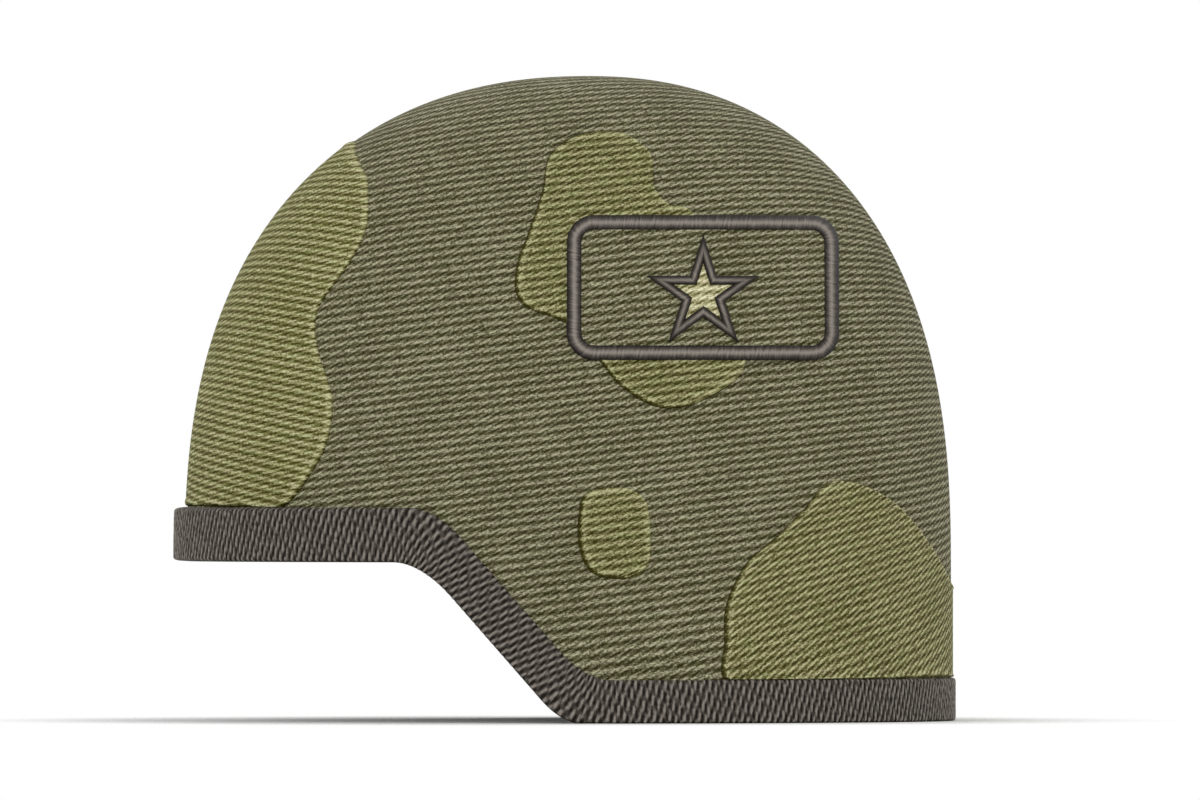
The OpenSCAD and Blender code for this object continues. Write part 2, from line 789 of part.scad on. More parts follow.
// A soft cup on the inside of the webbing, open in the middle
module chin_cup() {
    tall = 24;
    from = 60;
    to = 120;
    outer = -loop_t / 2 - 0.05;
    color("#5a4632") stowed() difference() {
        translate([0, 0, -tall / 2]) linear_extrude(tall)
            polygon(concat(loop_arc(outer, from, to), backwards(loop_arc(outer - 2.2, from, to))));
        translate([strap_reach - 20, -12, -3]) cube([30, 24, 6]);
        for (y = [-45, 45], z = [-1, 1]) translate([strap_reach - 40, y, z * tall / 2]) rotate([0, 90, 0])
            rotate([0, 0, 45]) cube([7, 7, 80], center = true);
    }
}

// The snap tab's frame: +X along the strap at the tab's middle, +Y towards the head
module at_tab() {
    stowed() translate([loop_bend + (strap_reach - loop_bend) * sin(tab_turn), -loop_y * cos(tab_turn), 0])
        rotate([0, 0, atan2(loop_y * sin(tab_turn), (strap_reach - loop_bend) * cos(tab_turn))])
            children();
}

module snap_stud() {
    seat = loop_t / 2 + 0.45;
    color("#8b8d88") at_tab() translate([-tab_l / 2 + 5, seat, 0]) rotate([-90, 0, 0])
        cylinder(r = 2, h = tab_gap + 0.9 - seat);
}

module snap_tab() {
    color("#5b5d3f") at_tab() difference() {
        translate([-tab_l / 2, tab_gap, -tab_w / 2]) cube([tab_l, tab_t, tab_w]);
        translate([-tab_l / 2 + 5, tab_gap - 1, 0]) rotate([-90, 0, 0]) cylinder(r = 3.1, h = tab_t + 2);
    }
}

module snap_cap() {
    color("#8b8d88") at_tab() translate([-tab_l / 2 + 5, tab_gap, 0]) rotate([-90, 0, 0]) difference() {
        union() {
            cylinder(r = 3.1, h = tab_t);
            translate([0, 0, tab_t]) cylinder(r = 4.6, h = 1);
        }
        translate([0, 0, -1]) cylinder(r = 2.3, h = 2.3);
    }
}

helmet_shell();
camouflage_cover();
edge_band();
camo_front();
camo_upper();
camo_small();
camo_rear();
camo_right_brow();
camo_right_ear();
camo_right_crown();
badge_ground();
badge_border();
star_outline();
star_centre();
suspension_screws();
suspension_posts();
suspension_band();
front_crown_straps();
side_crown_straps();
rear_crown_straps();
crown_drawcord();
cord_lock();
sweatband();
sweatband_clips();
nape_pad();
chinstrap_screws();
chinstrap_spacers();
chinstrap_nuts();
left_anchor_plate();
right_anchor_plate();
left_anchor_strap();
right_anchor_strap();
left_slider();
right_slider();
chinstrap_loop();
chin_cup();
snap_stud();
snap_tab();
snap_cap();
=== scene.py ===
import math

import bmesh
import bpy
import numpy as np
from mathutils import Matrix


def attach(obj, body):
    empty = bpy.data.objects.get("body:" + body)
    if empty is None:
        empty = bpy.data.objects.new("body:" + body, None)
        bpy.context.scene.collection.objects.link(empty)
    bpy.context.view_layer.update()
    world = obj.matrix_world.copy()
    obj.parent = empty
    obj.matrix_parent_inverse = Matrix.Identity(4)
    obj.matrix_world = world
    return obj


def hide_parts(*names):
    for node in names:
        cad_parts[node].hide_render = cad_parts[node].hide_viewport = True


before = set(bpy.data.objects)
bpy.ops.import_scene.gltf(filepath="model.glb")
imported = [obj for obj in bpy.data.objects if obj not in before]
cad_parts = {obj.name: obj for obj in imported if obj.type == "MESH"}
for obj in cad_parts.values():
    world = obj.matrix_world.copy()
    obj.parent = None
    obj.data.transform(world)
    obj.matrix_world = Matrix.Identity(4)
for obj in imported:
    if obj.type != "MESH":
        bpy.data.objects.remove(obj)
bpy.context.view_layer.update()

MM = 0.001

# ---- The helmet's dome and rim, in millimetres, with the brow towards -X and the left side towards -Y

FRONT_REACH, REAR_REACH, HALF_WIDTH = 131.3, 118.6, 108.0
DOME_RISE, DOME_Z, DOME_X = 160.9, 49.8, 7.75
DOME_MIDDLE = np.array([DOME_X, 0, 85])
SIDE_POWER, RISE_POWER = 2.22, 2.52
EAR_FLARE, FLARE_TOP = 8.0, 70.0

BROW_Z, RIM_SLOPE = 52.1, 1.15
BAND_FRONT, BAND_REAR = 17.7, 14.0
LOW_START, HIGH_START = -46.3, -41.8
LOW_BEND, EAR_BEND, HIGH_BEND = 10.0, 7.0, 9.0
LOW_END = LOW_START + BROW_Z / RIM_SLOPE
HIGH_END = HIGH_START + (BROW_Z + BAND_FRONT - BAND_REAR) / RIM_SLOPE
RIM_LIFT = 2.0
PROUD_FRONT, PROUD_REAR = 4.0, 1.2

COVER_THICK, SHELL_IN = 0.95, 9.6
WEB_OUT, WEB_THICK, WEB_LOW, WEB_TALL = 20.3, 1.9, 69.0, 20.0
STRAP_THICK = 1.2
STRAP_OUT = WEB_OUT + WEB_THICK + 0.25
SWEAT_OUT = STRAP_OUT + STRAP_THICK + 0.3


def columns(*parts):
    """Numbers and arrays of matching shapes, side by side as the columns of points or cloth coordinates."""
    return np.stack(np.broadcast_arrays(*parts), -1)


def ease(d, r):
    """A ramp that starts at d = 0, with its corner eased over 2 r."""
    d = np.asarray(d, float)
    return np.where(d <= -r, 0, np.where(d >= r, d, (d + r) ** 2 / (4 * r)))


def rim_low(x):
    """Height of the edge band's foot: level at the brow, then a slope, then the ground."""
    return np.maximum(0, BROW_Z - RIM_SLOPE * (ease(x - LOW_START, LOW_BEND) - ease(x - LOW_END, EAR_BEND)))


def rim_high(x):
    """Height of the edge band's top, which steps down to the narrower band at the rear."""
    drop = ease(x - HIGH_START, HIGH_BEND) - ease(x - HIGH_END, HIGH_BEND)
    return BROW_Z + BAND_FRONT - RIM_SLOPE * drop


def reach(a):
    """The dome's reach from its middle to the brow or to the nape, whichever angle a faces."""
    return np.where(np.cos(np.radians(a)) > 0, FRONT_REACH, REAR_REACH)


def rim_x(a):
    return DOME_X - reach(a) * np.cos(np.radians(a))


def share(z, d):
    """How much of its full reach the dome has left at a height."""
    up = np.clip((z - DOME_Z) / (DOME_RISE - d), 0, 1)
    return np.maximum(0, 1 - up ** RISE_POWER) ** (1 / SIDE_POWER)


def flare(z):
    """How much the dome widens over the ears at a height."""
    return EAR_FLARE * (np.maximum(0, FLARE_TOP - z) / FLARE_TOP) ** 2


def dome(a, z, d):
    """Points at angle a from the brow, height z and depth d below the cover's outside."""
    a, z, d = np.broadcast_arrays(np.asarray(a, float), np.asarray(z, float), np.asarray(d, float))
    turn = np.radians(a)
    s = share(z, d)
    return np.stack([
        DOME_X - (reach(a) - d) * s * np.cos(turn),
        -(HALF_WIDTH - d + flare(z)) * s * np.sin(turn),
        z,
    ], -1)


def left_side(x, z, d):
    """The same surface on the left, straight in from the side view's point x, z."""
    x, z, d = np.broadcast_arrays(np.asarray(x, float), np.asarray(z, float), np.asarray(d, float))
    s = share(z, d)
    c = (DOME_X - x) / ((np.where(x < DOME_X, FRONT_REACH, REAR_REACH) - d) * s)
    y = -(HALF_WIDTH - d + flare(z)) * s * np.sqrt(np.maximum(0, 1 - c * c))
    return np.stack([x, y, z], -1)


def outward(a):
    """Outward direction of the dome's level ellipse at an angle."""
    turn = np.radians(a)
    facing = np.arctan2(-np.sin(turn) / HALF_WIDTH, -np.cos(turn) / reach(a))
    return columns(np.cos(facing), np.sin(facing), 0.0)


UNROLLED, SIDE_RADIUS = 0.45, 112.0


def side_lay(points):
    """Cloth coordinates in millimetres: the surface partly unrolled from the middle of the nearer side.

    Both sides meet along the top without a jump."""
    v = points - DOME_MIDDLE
    flat = np.maximum(np.hypot(v[..., 0], v[..., 2]), 1e-6)
    tilt = np.arctan2(flat, np.abs(v[..., 1]))
    scale = 1 - UNROLLED + UNROLLED * SIDE_RADIUS * tilt / flat
    return columns(v[..., 0] * scale, v[..., 2] * scale, 0.0)


def lengths(points):
    """Running length along a line of points."""
    return np.concatenate([[0], np.cumsum(np.linalg.norm(np.diff(points, axis=0), axis=1))])


def spline(points, steps):
    """A closed smooth outline through given points."""
    p = np.asarray(points, float)
    a, b, c, d = np.roll(p, 1, 0), p, np.roll(p, -1, 0), np.roll(p, -2, 0)
    t = (np.arange(steps) / steps)[None, :, None]
    a, b, c, d = (q[:, None, :] for q in (a, b, c, d))
    made = 0.5 * (2 * b + (c - a) * t + (2 * a - 5 * b + 4 * c - d) * t ** 2
                  + (3 * b - a - 3 * c + d) * t ** 3)
    return made.reshape(-1, p.shape[1])


# ---- Shaders, written as arithmetic on sockets


class Signal:
    """A shader socket that takes part in arithmetic: each operator adds a Math node."""

    def __init__(self, paint, socket):
        self.paint, self.socket = paint, socket

    def math(self, operation, *values):
        return self.paint.node("ShaderNodeMath", {"operation": operation}, values)[0]

    def __add__(self, other):
        return self.math("ADD", self, other)

    def __sub__(self, other):
        return self.math("SUBTRACT", self, other)

    def __mul__(self, other):
        return self.math("MULTIPLY", self, other)

    def __truediv__(self, other):
        return self.math("DIVIDE", self, other)

    def __pow__(self, other):
        return self.math("POWER", self, other)

    def __rsub__(self, other):
        return self.math("SUBTRACT", other, self)

    __radd__ = __add__
    __rmul__ = __mul__

    def fraction(self):
        return self.math("FRACT", self)

    def sine(self):
        return self.math("SINE", self)

    def limit(self, low, high):
        return self.math("MAXIMUM", self.math("MINIMUM", self, high), low)

    def between(self, low, high):
        """0 at low and 1 at high, eased at both ends."""
        settings = {"interpolation_type": "SMOOTHSTEP"}
        return self.paint.node("ShaderNodeMapRange", settings, [self, low, high])[0]


class Paint:
    """One finish: a Principled material whose other nodes come from node()."""

    def __init__(self, name, **constants):
        self.material = bpy.data.materials.new(name)
        self.material.use_nodes = True
        self.tree = self.material.node_tree
        self.shader = self.tree.nodes["Principled BSDF"]
        for socket, value in constants.items():
            self.shader.inputs[socket.replace("_", " ")].default_value = value

    def node(self, kind, settings, inputs):
        """Adds a node with its settings and its inputs, by place or by name, and returns its outputs."""
        made = self.tree.nodes.new(kind)
        for name, value in settings.items():
            if name == "ramp":
                stops = made.color_ramp.elements
                while len(stops) < len(value):
                    stops.new(1)
                for stop, (place, colour) in zip(stops, value):
                    stop.position, stop.color = place, colour
            else:
                setattr(made, name, value)
        for place, value in (inputs.items() if isinstance(inputs, dict) else enumerate(inputs)):
            if isinstance(value, Signal):
                self.tree.links.new(value.socket, made.inputs[place])
            else:
                made.inputs[place].default_value = value
        return [Signal(self, socket) for socket in made.outputs]

    def feed(self, **links):
        """Links signals to the Principled shader's inputs and returns the finished material."""
        for name, signal in links.items():
            self.tree.links.new(signal.socket, self.shader.inputs[name.replace("_", " ")])
        return self.material

    def lay(self):
        """The piece's own cloth coordinates, in millimetres: along, across and one value of its own."""
        vector = self.node("ShaderNodeAttribute", {"attribute_name": "lay"}, [])[1]
        return [vector] + self.node("ShaderNodeSeparateXYZ", {}, [vector])

    def place(self):
        """The point in the helmet's own frame, in metres."""
        return self.node("ShaderNodeTexCoord", {}, [])[3]

    def point(self, x, y):
        return self.node("ShaderNodeCombineXYZ", {}, [x, y, 0.0])[0]

    def noise(self, vector, scale, detail=2.0):
        return self.node("ShaderNodeTexNoise", {}, {"Vector": vector, "Scale": scale, "Detail": detail})[0]

    def cells(self, vector, scale):
        return self.node("ShaderNodeTexVoronoi", {}, {"Vector": vector, "Scale": scale})[0]

    def ramp(self, value, *stops):
        return self.node("ShaderNodeValToRGB", {"ramp": stops}, [value])[0]

    def blend(self, factor, one, other):
        """Mixes two colours: a Mix node's colours are its inputs 6 and 7 and its output 2."""
        return self.node("ShaderNodeMix", {"data_type": "RGBA"}, {0: factor, 6: one, 7: other})[2]

    def tint(self, shade, shift):
        """Turns a colour's hue: a shift of 1 goes once round the colour wheel."""
        return self.node("ShaderNodeHueSaturation", {}, {"Hue": shift + 0.5, "Color": shade})[0]

    def bump(self, height, distance):
        return self.node("ShaderNodeBump", {}, {"Height": height, "Distance": distance})[0]


def colour(red, green, blue):
    """A colour read as 0 to 255 on the screen, in the linear values that a shader takes."""
    def line(v):
        v /= 255
        return v / 12.92 if v <= 0.04045 else ((v + 0.055) / 1.055) ** 2.4
    return line(red), line(green), line(blue), 1.0


# Spacing of the rows and of the finer slant in millimetres, and the degrees between the two
ROW_PITCH, STITCH_PITCH, STITCH_TURN = 2.86, 1.465, 24


def embroidery(name, dark, middle, light, turn, rows=0.21, stitches=0.15):
    """Fill stitches: broad rows of thread crossed by the finer slanting lines where the stitches go down.

    turn is the rise of the rows in degrees, and rows and stitches are how deep the two sets of lines are."""
    p = Paint(name, Specular_IOR_Level=0.06)
    vector, x, y, edge = p.lay()
    drift = p.noise(vector, 0.05, 2) - 0.5

    def above(angle):
        return y * math.cos(math.radians(angle)) - x * math.sin(math.radians(angle))

    row = ((above(turn) / ROW_PITCH + drift * 0.25) * math.tau).sine()
    stitch = ((above(turn + STITCH_TURN) / STITCH_PITCH + drift * 0.3) * math.tau).sine()
    across, along = above(turn + STITCH_TURN / 2), above(turn + STITCH_TURN / 2 + 90)
    streak = p.noise(p.point(along * 0.4, across * 2.0), 1.0, 4) - 0.5
    holes = p.cells(p.point(along * 1.1, across * 1.6), 1.0).between(0.1, 0.42)
    grain = p.noise(vector, 1.3, 2) - 0.5
    glint = p.noise(p.point(along * 1.1, across * 3.0), 1.0, 1) - 0.5
    patch = p.noise(vector, 0.05, 3) - 0.5
    dye = p.noise(p.point(along * 0.15, across * 0.55), 1.0, 4) - 0.5
    needle = row.limit(-1, 0) * stitch.limit(-1, 0)
    weave = row * rows + stitch * stitches + streak + grain * 0.4 - (1 - holes) * 0.32 - needle * 0.15
    # Near a camouflage patch's edge, edge paints a highlight band over the bead and painted shade at the very
    # edge, the shade strongest where the edge faces the brow or the rim
    painted_edge_shade = (edge + stitch * 0.1).between(0.55, 0.75)
    tone = weave + glint * 1.1 + 0.52 + patch * 0.2 + edge.between(0.0, 0.45) * 0.16 - painted_edge_shade * 0.7
    shade = p.ramp(tone, (0.06, dark), (0.5, middle), (0.94, light))
    return p.feed(Base_Color=p.tint(shade, dye * -0.1), Normal=p.bump(weave, 0.4 * MM),
                  Roughness=0.75 + streak * 0.3)


def trim_thread():
    """The edge band's dark thread, with a painted highlight on the top of each stitch and painted shade along
    the foot.
    """
    p = Paint("trim_thread", Specular_IOR_Level=0.12)
    _, s, t, high = p.lay()
    fray = p.noise(p.point(s * 2.4, t * 0.35), 1.0, 3)
    knot = p.noise(p.point(s * 0.9, t * 0.6), 1.0, 2) - 0.5
    tone = high * 0.94 + (fray - 0.5) * 0.8 + knot * 1.1 - (1 - t.between(0.0, 0.8)) * 0.4
    shade = p.ramp(tone, (0.1, colour(24, 19, 14)), (0.5, colour(77, 71, 64)), (0.9, colour(140, 133, 125)))
    return p.feed(Base_Color=shade, Normal=p.bump(fray, 0.12 * MM), Roughness=0.55 + fray * 0.25)


def satin_thread(name, dark, middle, light):
    """Satin stitches: close ribs across a raised line, with painted shade at its edges and a painted
    highlight along its middle.
    """
    p = Paint(name, Specular_IOR_Level=0.2)
    _, s, t, high = p.lay()
    hair = p.noise(p.point(s * 1.5 + t * 0.3, t * 0.2), 1.0, 4)
    tone = high.between(-0.1, 1.2) + (hair - 0.5) * 0.9
    shade = p.ramp(tone, (0.1, dark), (0.5, middle), (0.95, light))
    return p.feed(Base_Color=shade, Normal=p.bump(hair, 0.15 * MM), Roughness=0.45 + hair * 0.2)


def webbing_weave(name, dark, light):
    """Woven tape: slanting ribs along the tape, a raised selvedge and a little fading."""
    p = Paint(name, Roughness=0.8, Sheen_Weight=0.2, Specular_IOR_Level=0.2)
    vector, s, t, edge = p.lay()
    lift = (s * 0.9 + t * 0.55).fraction()
    rib = (t / 1.25).fraction()
    weave = (lift * math.pi).sine() ** 0.6 * (rib * math.pi).sine() ** 0.5
    fuzz = p.noise(vector, 2.6, 3)
    fade = p.noise(vector, 0.05, 3)
    tone = weave * 0.6 + fuzz * 0.35 + (fade - 0.5) * 0.5 - edge * 0.15
    shade = p.ramp(tone, (0.1, dark), (0.75, light))
    height = weave * 0.8 + fuzz * 0.3
    return p.feed(Base_Color=shade, Normal=p.bump(height, 0.22 * MM), Roughness=0.7 + fuzz * 0.25)


def braided_cord():
    """Cord plaited from two crossing sets of strands."""
    p = Paint("braided_cord", Roughness=0.7, Sheen_Weight=0.15, Specular_IOR_Level=0.25)
    vector, s, t, _ = p.lay()
    one = ((s / 1.7 + t / 2.5).fraction() * math.pi).sine()
    two = ((s / 1.7 - t / 2.5).fraction() * math.pi).sine()
    plait = one.math("MAXIMUM", one, two)
    fuzz = p.noise(vector, 3.0, 2)
    shade = p.ramp(plait * 0.7 + fuzz * 0.3, (0.35, colour(44, 46, 32)), (0.95, colour(92, 93, 68)))
    return p.feed(Base_Color=shade, Normal=p.bump(plait, 0.25 * MM))


def leather(name, dark, light):
    """Creased leather, rubbed pale and smooth on the high places."""
    p = Paint(name, Specular_IOR_Level=0.4, Coat_Roughness=0.4)
    place = p.place()
    grain = p.cells(place, 620.0)
    fine = p.noise(place, 900.0, 4)
    wear = p.noise(place, 28.0, 4)
    tone = grain * 0.35 + fine * 0.25 + (wear - 0.5) * 0.7 + 0.3
    shade = p.ramp(tone, (0.15, dark), (0.85, light))
    height = grain * 0.7 + fine * 0.3
    return p.feed(Base_Color=shade, Normal=p.bump(height, 0.25 * MM), Roughness=0.4 + wear * 0.3)


def foam():
    """Open foam rubber, with fine pores and cloudy fading."""
    p = Paint("foam_rubber", Specular_IOR_Level=0.2, Sheen_Weight=0.1)
    place = p.place()
    pores = p.cells(place, 900.0)
    cloud = p.noise(place, 60.0, 4)
    shade = p.ramp(pores * 0.5 + cloud * 0.5, (0.2, colour(52, 53, 42)), (0.85, colour(96, 96, 80)))
    return p.feed(Base_Color=shade, Normal=p.bump(pores, 0.4 * MM), Roughness=0.8 + cloud * 0.15)


def shell_paint():
    """Sanded olive paint over a laminate: a fine speckle and the faint squares of the weave below it."""
    p = Paint("shell_paint", Specular_IOR_Level=0.3)
    place = p.place()
    x, y, z = p.node("ShaderNodeSeparateXYZ", {}, [place])
    weave = (x * 900).sine() * (y * 900).sine() + (z * 900).sine() * 0.5
    speck = p.noise(place, 700.0, 3)
    cloud = p.noise(place, 22.0, 4)
    tone = speck * 0.5 + cloud * 0.5 + weave * 0.04
    shade = p.ramp(tone, (0.3, colour(50, 53, 38)), (0.7, colour(84, 86, 64)))
    height = speck + weave * 0.2
    return p.feed(Base_Color=shade, Normal=p.bump(height, 0.12 * MM), Roughness=0.55 + cloud * 0.3)


def steel():
    """Zinc-plated steel: fine draw lines, and duller handled patches."""
    p = Paint("plated_steel", Metallic=1.0)
    place = p.place()
    drawn_out = p.node("ShaderNodeMapping", {}, {"Vector": place, "Scale": (1, 1, 9)})[0]
    line = p.noise(drawn_out, 260.0, 3)
    cloud = p.noise(place, 90.0, 4)
    shade = p.ramp(cloud * 0.7 + line * 0.3, (0.25, colour(128, 128, 122)), (0.8, colour(186, 185, 178)))
    return p.feed(Base_Color=shade, Normal=p.bump(line, 0.03 * MM), Roughness=0.28 + cloud * 0.25)


def worn_paint(name, paint_colour, bare_colour, metal=1.0):
    """Dark paint, rubbed through to the metal in small spots."""
    p = Paint(name, Specular_IOR_Level=0.4)
    place = p.place()
    rub = p.noise(place, 420.0, 5)
    fine = p.noise(place, 1500.0, 2)
    bare = rub.between(0.62, 0.72)
    thin_paint = (*(1.25 * v for v in paint_colour[:3]), 1.0)
    shade = p.blend(bare, p.ramp(fine, (0.3, paint_colour), (0.8, thin_paint)), bare_colour)
    return p.feed(Base_Color=shade, Metallic=bare * metal, Roughness=0.5 - bare * 0.15 + fine * 0.15,
                  Normal=p.bump(fine, 0.05 * MM))


def moulded_plastic():
    """Dark plastic with the fine grain of its mould."""
    p = Paint("moulded_plastic", Specular_IOR_Level=0.4)
    place = p.place()
    texture = p.noise(place, 1100.0, 2)
    cloud = p.noise(place, 110.0, 3)
    shade = p.ramp(cloud, (0.3, colour(34, 35, 30)), (0.8, colour(58, 58, 50)))
    return p.feed(Base_Color=shade, Normal=p.bump(texture, 0.06 * MM), Roughness=0.42 + cloud * 0.25)


def tailors_thread():
    """Pale sewing thread, mottled by its twist."""
    p = Paint("sewing_thread", Roughness=0.6, Sheen_Weight=0.1)
    twist = p.noise(p.place(), 1600.0, 2)
    return p.feed(Base_Color=p.ramp(twist, (0.3, colour(92, 92, 62)), (0.7, colour(150, 148, 112))))


PAINTS = {
    "cover": embroidery("cover_stitch", colour(50, 47, 20), colour(101, 98, 70), colour(188, 184, 155), 7),
    "front": embroidery("front_stitch", colour(60, 56, 12), colour(123, 121, 70), colour(210, 208, 162), -10),
    "upper": embroidery("upper_stitch", colour(54, 51, 12), colour(114, 112, 68), colour(196, 194, 148), 7),
    "rear": embroidery("rear_stitch", colour(60, 57, 20), colour(115, 112, 69), colour(200, 198, 152), 11,
                       rows=0.16, stitches=0.24),
    "star": embroidery("star_stitch", colour(96, 90, 44), colour(184, 179, 134), colour(250, 247, 208), 7),
    "trim": trim_thread(),
    "cord": satin_thread("badge_satin", colour(24, 20, 17), colour(78, 71, 65), colour(147, 139, 130)),
    "webbing": webbing_weave("olive_webbing", colour(60, 62, 38), colour(116, 116, 84)),
    "chin_webbing": webbing_weave("chin_webbing", colour(56, 58, 36), colour(108, 108, 78)),
    "drawcord": braided_cord(),
    "leather": leather("sweat_leather", colour(66, 46, 30), colour(124, 92, 62)),
    "cup": leather("cup_leather", colour(58, 42, 28), colour(112, 84, 58)),
    "foam": foam(),
    "shell": shell_paint(),
    "steel": steel(),
    "dark_steel": worn_paint("painted_steel", colour(46, 48, 38), colour(150, 148, 140)),
    "snap": worn_paint("blackened_brass", colour(62, 58, 46), colour(150, 128, 84)),
    "plastic": moulded_plastic(),
    "thread": tailors_thread(),
}


# ---- Pieces made of sections


class Form:
    """Gathers the points, faces and cloth coordinates of one piece, in millimetres."""

    def __init__(self):
        self.points, self.lays, self.faces, self.count = [], [], [], 0

    def add(self, points, lays):
        """Adds points with their cloth coordinates, and returns the number of the first."""
        first = self.count
        points = np.asarray(points, float).reshape(-1, 3)
        self.points.append(points)
        self.lays.append(np.broadcast_to(np.asarray(lays, float).reshape(-1, 3), points.shape))
        self.count += len(points)
        return first

    def run(self, rings, lays, loop=False, capped=True):
        """Skins a run of closed sections: loop joins the last to the first, and capped fills both ends."""
        rings = np.asarray(rings, float)
        n, m = rings.shape[:2]
        at = self.add(rings, lays) + np.arange(n * m).reshape(n, m)
        i, j = np.arange(n if loop else n - 1)[:, None], np.arange(m)[None, :]
        k, l = (i + 1) % n, (j + 1) % m
        quads = np.stack([at[i, j], at[i, l], at[k, l], at[k, j]], -1).reshape(-1, 4)
        self.faces += quads.tolist()
        if capped and not loop:
            self.faces += [at[0, ::-1].tolist(), at[-1].tolist()]
        return at

    def close(self, ring, point, lay):
        """Fans a ring of points to one point."""
        top = self.add([point], [lay])
        self.faces += [[top, p, q] for p, q in zip(ring, np.roll(ring, -1))]

    def make(self, name, paint, slot, body, *replaced):
        """Makes the piece: a smooth mesh in its paint, riding on its body, for the CAD nodes it replaces."""
        mesh = bpy.data.meshes.new(name)
        points = np.concatenate(self.points)
        mesh.from_pydata((points * MM).tolist(), [], self.faces)
        skin = bmesh.new()
        skin.from_mesh(mesh)
        bmesh.ops.recalc_face_normals(skin, faces=skin.faces)
        skin.to_mesh(mesh)
        skin.free()
        mesh.polygons.foreach_set("use_smooth", [True] * len(mesh.polygons))
        lay = mesh.attributes.new("lay", "FLOAT_VECTOR", "POINT")
        lay.data.foreach_set("vector", np.concatenate(self.lays).astype(np.float32).ravel())
        piece = bpy.data.objects.new(name, mesh)
        bpy.context.scene.collection.objects.link(piece)
        mesh.materials.append(PAINTS[paint])
        mesh.validate()
        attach(piece, body)
        if replaced:
            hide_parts(*replaced)
        return piece


# ---- Camera, floor and light


PHOTO_PIXELS, PIXEL_MM = 1200, 0.32692
VIEW_X, VIEW_Z, VIEW_FAR = 11.61, 104.78, 12000.0


def set_camera():
    """A very long lens from the wearer's left, so the view is as flat as the photograph's."""
    far, wide = VIEW_FAR * MM, PHOTO_PIXELS * PIXEL_MM * MM
    data = bpy.data.cameras.new("camera")
    data.lens = data.sensor_width * far / wide
    data.clip_start, data.clip_end = 1.0, 60.0
    camera = bpy.data.objects.new("camera", data)
    camera.location = (VIEW_X * MM, -far, VIEW_Z * MM)
    camera.rotation_euler = (math.pi / 2, 0, 0)
    bpy.context.scene.collection.objects.link(camera)
    bpy.context.scene.camera = camera


def soft_lamp(name, place, aim, size, power):
    data = bpy.data.lights.new(name, "AREA")
    data.shape, data.size, data.energy = "DISK", size, power
    lamp = bpy.data.objects.new(name, data)
    lamp.location = place
    direction = np.array(aim) - np.array(place)
    side = math.atan2(direction[1], direction[0]) - math.pi / 2
    lamp.rotation_euler = (math.atan2(np.hypot(direction[0], direction[1]), -direction[2]), 0, side)
    bpy.context.scene.collection.objects.link(lamp)


def set_background():
    """Soft light from all round, and plain white for what the camera, gloss and clear things see."""
    world = bpy.data.worlds.new("studio")
    bpy.context.scene.world = world
    world.use_nodes = True
    tree = world.node_tree
    soft, white = tree.nodes["Background"], tree.nodes.new("ShaderNodeBackground")
    for source, strength in ((soft, 0.78), (white, 1.0)):
        source.inputs["Color"].default_value = (1, 1, 1, 1)
        source.inputs["Strength"].default_value = strength
    path = tree.nodes.new("ShaderNodeLightPath")
    seen = path.outputs["Is Camera Ray"]
    for ray in ("Is Glossy Ray", "Is Transmission Ray"):
        either = tree.nodes.new("ShaderNodeMath")
        either.operation = "MAXIMUM"
        tree.links.new(seen, either.inputs[0])
        tree.links.new(path.outputs[ray], either.inputs[1])
        seen = either.outputs[0]
    mixed = tree.nodes.new("ShaderNodeMixShader")
    for place, socket in enumerate((seen, soft.outputs[0], white.outputs[0])):
        tree.links.new(socket, mixed.inputs[place])
    tree.links.new(mixed.outputs[0], tree.nodes["World Output"].inputs["Surface"])
    bpy.context.scene.view_settings.view_transform = "Standard"


FLOOR_HALF, FADE_START, FADE_END = 6.0, 0.13, 0.21


def set_floor():
    """Pale paper that keeps the helmet's shadow and fades out round it."""
    mesh = bpy.data.meshes.new("floor")
    corners = [(FLOOR_HALF * x, FLOOR_HALF * y, 0) for x, y in ((-1, -1), (1, -1), (1, 1), (-1, 1))]
    mesh.from_pydata(corners, [], [(0, 1, 2, 3)])
    floor = bpy.data.objects.new("floor", mesh)
    paper = Paint("floor_paper", Roughness=0.95, Specular_IOR_Level=0.0)
    place = paper.place()
    tooth = paper.noise(place, 40.0, 3)
    x, y, _ = paper.node("ShaderNodeSeparateXYZ", {}, [place])
    away = (x * x + y * y) ** 0.5
    shade = paper.ramp(tooth, (0.3, (0.9, 0.9, 0.895, 1)), (0.7, (0.93, 0.93, 0.925, 1)))
    mesh.materials.append(paper.feed(Base_Color=shade, Alpha=1 - away.between(FADE_START, FADE_END)))
    bpy.context.scene.collection.objects.link(floor)


set_camera()
set_background()
set_floor()
for lamp_name, lamp_place, lamp_size, lamp_power in (
    ("key_lamp", (-0.9, -1.8, 1.0), 1.1, 7),
    ("fill_lamp", (1.4, -1.1, 0.7), 1.0, 3),
    ("back_lamp", (0.2, 1.6, 1.3), 1.0, 2),
):
    soft_lamp(lamp_name, lamp_place, (0, 0, 0.1), lamp_size, lamp_power)


# ---- The cloth cover and what is sewn on it


def cloth_cover():
    """The stitched cover, from the crown to the hem that the edge band holds."""
    form = Form()
    angles = np.arange(0, 360, 1.25)
    low = rim_low(rim_x(angles)) + RIM_LIFT

    def layer(depth, rows):
        top = DOME_Z + DOME_RISE - depth
        # The rows lie closest together at the crown, where the height changes least
        share_down = (np.arange(1, rows + 1) / rows)[:, None] ** 2.1
        z = top - (top - low[None, :]) * share_down
        points = dome(angles[None, :], z, depth)
        return points, np.array([DOME_X, 0, top])

    outside, crown = layer(0.0, 100)
    inside, under_crown = layer(COVER_THICK, 30)
    rings = np.concatenate([outside, inside[::-1]])
    at = form.run(rings, side_lay(rings), capped=False)
    form.close(at[0], crown, side_lay(crown))
    form.close(at[-1], under_crown, side_lay(under_crown))
    return form.make("cloth_cover", "cover", "cover_cloth", "helmet", "camouflage_cover")


